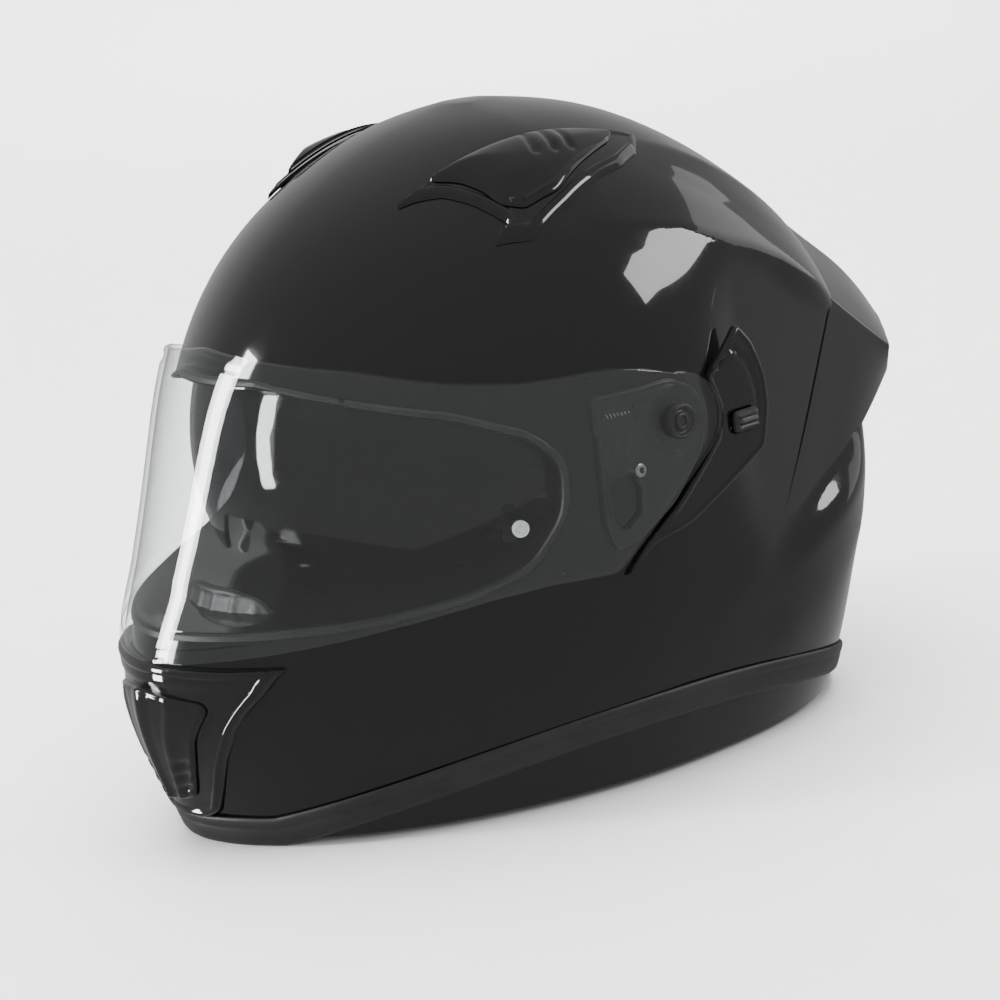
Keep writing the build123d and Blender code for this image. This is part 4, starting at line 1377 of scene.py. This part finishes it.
# %% Bosses
def tube_faces(rings, around):
    """Quads between the rings of a tube, with its two ends closed."""
    faces = []
    for r in range(rings - 1):
        for k in range(around):
            a, b = r * around + k, r * around + (k + 1) % around
            faces.append((a, b, b + around, a + around))
    faces.append(tuple(range(around)))
    faces.append(tuple(range(rings * around - 1, (rings - 1) * around - 1, -1)))
    return faces


def turned(name, y, z, outline, around=48):
    """A body turned about a line along X through (y, z); the outline is (radius, x) from axis to axis."""
    points = []
    for radius, x in outline:
        for k in range(around):
            turn = 2 * pi * k / around
            points.append((x, y + radius * cos(turn), z + radius * sin(turn)))
    faces = tube_faces(len(outline), around)
    return face_outwards(make_object(name, points, faces), 38)


HUB_OUTLINE = [
    (0.4, 121.5), (6.6, 121.5), (6.9, 121.9), (6.9, 128.9), (6.6, 129.6), (6.0, 130.0), (5.4, 129.8),
    (5.0, 129.0), (4.3, 128.6), (3.6, 128.9), (3.2, 129.7), (2.5, 130.0), (1.9, 129.8), (1.6, 129.2),
    (0.4, 129.1)]
hub = turned("boss_left", -3, 145, HUB_OUTLINE)
dress(hub, "helmet", "satin_black", SATIN_BLACK, "visor_hub_left")
hub_right = mirror_copy(hub, "boss_right")
dress(hub_right, "helmet", "satin_black", SATIN_BLACK, "visor_hub_right")
print("boss faces:", len(hub.data.polygons))

# %% [markdown]
# Two small steel screws hold each base plate. They are turned too, with a domed head and a hollow drive.

# %% Screws
SCREW_OUTLINE = [
    (0.3, 120.6), (1.5, 120.6), (1.5, 121.6), (2.8, 121.6), (2.9, 122.0), (2.7, 122.5), (2.1, 122.8),
    (1.3, 122.85), (1.1, 122.3), (0.3, 122.2)]
SCREW_PLACES = [(-20, 129), (-2, 125)]
screw_pieces = [turned(f"screw_{k}", y, z, SCREW_OUTLINE, 28) for k, (y, z) in enumerate(SCREW_PLACES)]
screws_left = joined("screws_left", screw_pieces)
dress(screws_left, "helmet", "steel", STEEL, "base_plate_screws")
screws_right = mirror_copy(screws_left, "screws_right")
dress(screws_right, "helmet", "steel", STEEL)
print("screws:", 2 * len(SCREW_PLACES))

# %% [markdown]
# The sun visor's lever is a ribbed finger knob on a stem that reaches in through the trim. The ribs run
# across the travel, for grip, and fade towards the rim.

# %% Sun visor lever
KNOB = [(24.5, 133), (37.5, 133), (37.5, 141.5), (24.5, 141.5)]


def knob_relief(p, distance):
    dome = 1.4 * np.clip(distance / 3.2, 0, 1)
    ribs = 0.55 * np.cos((p[:, 1] - 137.2) * 2 * pi / 2.4) * np.clip((distance - 0.8) / 0.8, 0, 1)
    return dome + ribs


knob = plate("lever_knob", [rounded(KNOB, 2.4, 0.8)], on_side, 4.6, base=3.2, edge=1.2, spacing=0.8,
             lift=knob_relief, crease=60)
stem = prism("lever_stem", [(29, 134.5), (33, 134.5), (33, 140), (29, 140)], 0, 120.4, 126.6)
lever = joined("sun_visor_lever", [knob, stem])
lever.data.shade_smooth()
face_outwards(lever, 40)
dress(lever, "sun_slider", "satin_black", SATIN_BLACK, "sun_visor_slider")
print("lever faces:", len(lever.data.polygons))

# %% [markdown]
# ## Anti-fog pins
# A second, fog-free pane clips behind the visor on two clear pins, one at each end. A pin is turned about
# +X at the origin and then stood on the form, facing straight out of the visor there.

# %% Anti-fog pins
# (radius, distance out of the visor's inside face)
PIN_OUTLINE = [
    (0.3, -1.4), (3.1, -1.4), (3.3, -1.2), (3.3, -0.2), (3.0, 0.1), (2.4, 0.15), (2.0, -0.2), (1.5, -0.3),
    (1.2, -0.05), (0.3, 0.0)]


def set_on_form(piece, angle, z, out):
    """Turns a piece made along +X about the origin to stand out from the form at that place."""
    at = turn_point(np.array([angle]), np.array([z]), out, VISOR_FLARE)[0]
    round_it = turn_point(np.array([angle + 0.02]), np.array([z]), out, VISOR_FLARE)[0] - at
    up_it = turn_point(np.array([angle]), np.array([z + 2.0]), out, VISOR_FLARE)[0] - at
    outward = np.cross(round_it, up_it)
    outward /= np.linalg.norm(outward) * np.sign(outward @ (at - FORM_MIDDLE))
    flat = round_it / np.linalg.norm(round_it)
    stand = np.cross(outward, flat)
    turn = Matrix([[outward[k], flat[k], stand[k], 0] for k in range(3)] + [[0, 0, 0, 1]])
    centring = Vector((0, CENTRING * MM, 0))
    piece.data.transform(Matrix.Translation(-centring))
    piece.data.transform(Matrix.Translation(Vector(at * MM) + centring) @ turn)
    return piece


PIN_Y, PIN_Z = -68.6, 116.5
pin_turn = unrolled([(PIN_Y, PIN_Z)], 2.4, VISOR_FLARE)[0, 0] / UNROLL
pin_pieces = [
    set_on_form(turned(f"pin_{k}", 0, 0, PIN_OUTLINE, 32), sign * pin_turn, PIN_Z, 2.6)
    for k, sign in enumerate((1, -1))]
pins = face_outwards(joined("antifog_pins", pin_pieces), 38)
dress(pins, "visor", "clear_plastic", CLEAR_PLASTIC, "pinlock_pins")
print("pin box:", [round(c / MM) for c in pins.bound_box[0]], [round(c / MM) for c in pins.bound_box[6]])

# %% [markdown]
# ## Breath guard
# The breath guard stands on the chin bar's inner edge below the visor: a thin rubber fence with a rolled
# top and upright ribs that keep it from folding.

# %% Breath guard
GUARD_HALF, GUARD_LOW, GUARD_HIGH, GUARD_INSIDE, RIB_PITCH = 44.0, 64.0, 98.0, 24.0, 11.0


def guard_relief(p, distance):
    from_rib = (p[:, 0] + 200) % RIB_PITCH - RIB_PITCH / 2
    ribs = 0.9 * np.exp(-(from_rib / 1.1) ** 2) * np.clip((distance - 1.5) / 1.5, 0, 1)
    roll = np.clip(2.6 - (GUARD_HIGH - p[:, 1]), 0, 1)
    return ribs + roll


def on_guard(p, out):
    """The fence stands behind the visor, 24 mm inside the form's front."""
    return np.stack([p[:, 0], front_y(p[:, 0], p[:, 1], 0.0) + GUARD_INSIDE - out, p[:, 1]], -1)


guard_outline = rounded(
    [(-GUARD_HALF, GUARD_LOW), (GUARD_HALF, GUARD_LOW), (GUARD_HALF, 82), (26, 95), (12, GUARD_HIGH),
     (-12, GUARD_HIGH), (-26, 95), (-GUARD_HALF, 82)], 3.0, 1.4)
guard = plate(
    "guard", [guard_outline], on_guard, 1.4, base=0.0, edge=0.7, spacing=1.8, lift=guard_relief, crease=50)
dress(guard, "helmet", "edge_rubber", EDGE_RUBBER, "breath_guard")
print("guard faces:", len(guard.data.polygons))

# %% [markdown]
# ## Straps and curtain
# The chin straps are cut webbing, riveted to the shell and hanging into the neck opening; the chin curtain
# is a strip of mesh cloth stretched under the chin bar. Their blocks come from the frame and are used as
# they are.

# %% Cut cloth
print("sheets:", 3)

# %% [markdown]
# ## Latch springs
# A helical spring of fine wire pushes each latch back; it is drawn as a real coil.

# %% Springs
def coil(name, start, end, radius, wire, turns):
    """A coil spring of round wire from start to end (millimetres)."""
    start, end = np.array(start, float), np.array(end, float)
    axis = (end - start) / np.linalg.norm(end - start)
    first = np.cross(axis, [0, 0, 1.0])
    first /= np.linalg.norm(first)
    second = np.cross(axis, first)
    steps = int(turns * 20)
    points, around = [], 8
    for i in range(steps + 1):
        angle = 2 * pi * turns * i / steps
        centre = start + (end - start) * i / steps + radius * (first * cos(angle) + second * sin(angle))
        outward = first * cos(angle) + second * sin(angle)
        for k in range(around):
            turn = 2 * pi * k / around
            points.append(centre + wire * (outward * cos(turn) + axis * sin(turn)))
    return face_outwards(make_object(name, points, tube_faces(steps + 1, around)), 60)


for side_name, sign in (("left", 1), ("right", -1)):
    low, high = [Vector(corner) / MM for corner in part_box(f"latch_spring_{side_name}")]
    middle_x, middle_z = (low.x + high.x) / 2, (low.z + high.z) / 2
    spring = coil(
        f"spring_{side_name}", (middle_x - sign, low.y + 0.3 - CENTRING, middle_z),
        (middle_x + sign, high.y - 0.3 - CENTRING, middle_z), 0.9, 0.22, 8)
    dress(spring, "helmet", "steel", STEEL, f"latch_spring_{side_name}")
    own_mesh(spring)
print("springs:", 2)

# %% [markdown]
# ## Soft lining
# Cheek pads, crown liner and neck roll are foam in a sewn cover. Each starts from the frame's block, is
# divided evenly, and is blown up a little as cloth held by its own shape, so that the edges go round and
# the faces belly out as a stuffed cover does.

# %% Pads by cloth
def puffed(name, node, voxel, pressure, most):
    """A pad from the frame's block: remeshed, blown up as cloth, its movement capped at most metres."""
    piece = bpy.data.objects.new(name, frame["nodes"][node].data.copy())
    bpy.context.scene.collection.objects.link(piece)
    piece.parent = None
    even = piece.modifiers.new("even", "REMESH")
    even.mode, even.voxel_size, even.use_smooth_shade = "VOXEL", voxel, True
    bake(piece)
    rest = np.array([v.co for v in piece.data.vertices])
    blow = piece.modifiers.new("blow", "CLOTH")
    blow.settings.use_pressure, blow.settings.uniform_pressure_force = True, pressure
    blow.settings.effector_weights.gravity = 0
    blow.settings.quality = 5
    blow.settings.tension_stiffness, blow.settings.compression_stiffness = 25, 25
    blow.settings.bending_stiffness = 2
    for step in range(1, 21):
        bpy.context.scene.frame_set(step)
    graph = bpy.context.evaluated_depsgraph_get()
    blown = piece.evaluated_get(graph).to_mesh()
    moved = np.array([v.co for v in blown.vertices]) - rest
    piece.evaluated_get(graph).to_mesh_clear()
    piece.modifiers.clear()
    bpy.context.scene.frame_set(1)
    far = np.linalg.norm(moved, axis=1)[:, None]
    moved = moved * np.minimum(1, most / np.maximum(far, 1e-9))
    piece.data.vertices.foreach_set("co", (rest + moved).ravel())
    piece.data.update()
    smooth = piece.modifiers.new("smooth", "SMOOTH")
    smooth.factor, smooth.iterations = 0.5, 4
    finer = piece.modifiers.new("finer", "SUBSURF")
    finer.levels = finer.render_levels = 1
    bake(piece)
    piece.data.shade_smooth()
    print(name, "moved up to", round(float(far.max()) * 1000, 1), "mm")
    return piece


PADS = [
    ("cheek_cushion_left", "cheek_pad_left", "liner_fabric", LINER_FABRIC, 0.004),
    ("cheek_cushion_right", "cheek_pad_right", "liner_fabric", LINER_FABRIC, 0.004),
    ("crown_cushion", "crown_liner", "liner_fabric", LINER_FABRIC, 0.005),
    ("nape_cushion", "neck_roll", "leatherette", LEATHERETTE, 0.004),
]
for piece_name, node, slot_name, finish, voxel in PADS:
    cushion = puffed(piece_name, node, voxel, 4.0, 0.0025)
    dress(cushion, "helmet", slot_name, finish, node)
print("pads:", len(PADS))

# %% [markdown]
# ## Floor
# The helmet stands on a pale table with a backdrop that sweeps up far behind it. Black gloss shows whatever
# stands round it, so neither strip is seen in reflections: only the lights draw on the lacquer.

# %% Floor
TO_BACK = Vector((-0.80, 0.56))
SIDEWAYS = Vector((0.56, 0.80))
PALE = moulded("pale_table", (0.86, 0.86, 0.86), 0.60, 120, 0.0, vary=0.01)


def sweep_floor(name, profile_points):
    """A wide strip of floor or backdrop from its profile: distance behind the helmet and height."""
    strip = bmesh.new()
    rows = []
    for away, up in profile_points:
        ends = [TO_BACK * away + SIDEWAYS * across for across in (-4.0, 4.0)]
        rows.append([strip.verts.new((end.x, end.y, up)) for end in ends])
    for near, far in zip(rows, rows[1:]):
        strip.faces.new((near[0], near[1], far[1], far[0]))
    bmesh.ops.recalc_face_normals(strip, faces=strip.faces)
    mesh = bpy.data.meshes.new(name)
    strip.to_mesh(mesh)
    strip.free()
    mesh.shade_smooth()
    mesh.materials.append(PALE)
    surface = bpy.data.objects.new(name, mesh)
    bpy.context.scene.collection.objects.link(surface)
    return surface


table_top = sweep_floor("table_top", [(-3.0, 0.0), (0.7, 0.0)])
table_top.visible_glossy = False
backdrop = sweep_floor("backdrop", [
    (0.7, 0.0), (2.2, 0.0), (2.6, 0.03), (2.9, 0.15), (3.1, 0.4), (3.2, 0.8), (3.2, 3.5)])
backdrop.visible_glossy = False
print("floor strips:", 2)

# %% [markdown]
# ## Lights
# Large soft lights from above and behind whiten the table without being mirrored. A tall light ahead draws
# the long streak down the visor, a box on the rider's left lies as a soft patch on the side of the shell,
# and a dim panel behind lifts the tail off the backdrop.

# %% Lights
CENTRE = Vector((0.0, CENTRING * MM - 0.005, 0.13))
world = bpy.data.worlds.new("studio_world")
bpy.context.scene.world = world
world.use_nodes = True
sky = world.node_tree.nodes["Background"]
sky.inputs["Color"].default_value = (1.0, 1.0, 1.0, 1)
sky.inputs["Strength"].default_value = 0.4

# label, place, aim, width, height, power, seen in reflections (metres, watts)
LIGHTS = [
    ("overhead", (-0.3, 0.3, 2.2), (0, 0, 0.0), 2.6, 2.6, 200, False),
    ("front_fill", (1.6, -1.4, 1.3), (0, 0, 0.1), 1.4, 1.4, 22, False),
    ("back_wash", (-2.2, 1.6, 2.0), (-2.9, 2.1, 0.8), 2.4, 1.0, 140, False),
    ("visor_strip", (-1.15, -1.75, 0.5), (0, -0.1, 0.14), 0.30, 1.7, 90, True),
    ("side_box", (1.35, 1.25, 1.25), (0.1, 0, 0.17), 1.0, 0.5, 15.5, True),
    ("rear_panel", (0.3, 2.4, 0.9), (0.05, 0.1, 0.14), 1.6, 1.6, 6, True),
]
for label, place, aim, width, height, power, mirrored_too in LIGHTS:
    lamp = bpy.data.lights.new(label, "AREA")
    lamp.shape = "RECTANGLE"
    lamp.size, lamp.size_y, lamp.energy = width, height, power
    holder = bpy.data.objects.new(label, lamp)
    holder.location = place
    holder.visible_glossy = mirrored_too
    holder.rotation_euler = (Vector(aim) - Vector(place)).to_track_quat("-Z", "Y").to_euler()
    bpy.context.scene.collection.objects.link(holder)
print("lights:", len(LIGHTS))

# %% [markdown]
# ## Camera
# The camera stands a little over a metre away, off the rider's left cheek and slightly above, rolled a few
# degrees. A long lens keeps the round shell from swelling towards the viewer.

# %% Camera
BACK = Vector((0.7998, -0.5600, 0.2164))
RIGHT = Vector((0.5918, 0.7960, -0.1274))
UP = Vector((-0.1009, 0.2300, 0.9680))
eye = CENTRE + 1.2 * BACK
aim = CENTRE + 0.00788 * RIGHT - 0.0307 * UP
look = (eye - aim).normalized()
side = UP.cross(look).normalized()
upward = look.cross(side)
camera = bpy.data.objects.new("camera", bpy.data.cameras.new("camera"))
camera.matrix_world = Matrix((
    (side.x, upward.x, look.x, eye.x),
    (side.y, upward.y, look.y, eye.y),
    (side.z, upward.z, look.z, eye.z),
    (0, 0, 0, 1)))
camera.data.lens = 104.1
camera.data.clip_end = 20
bpy.context.scene.collection.objects.link(camera)
bpy.context.scene.camera = camera
print("camera at", [round(c, 3) for c in eye])
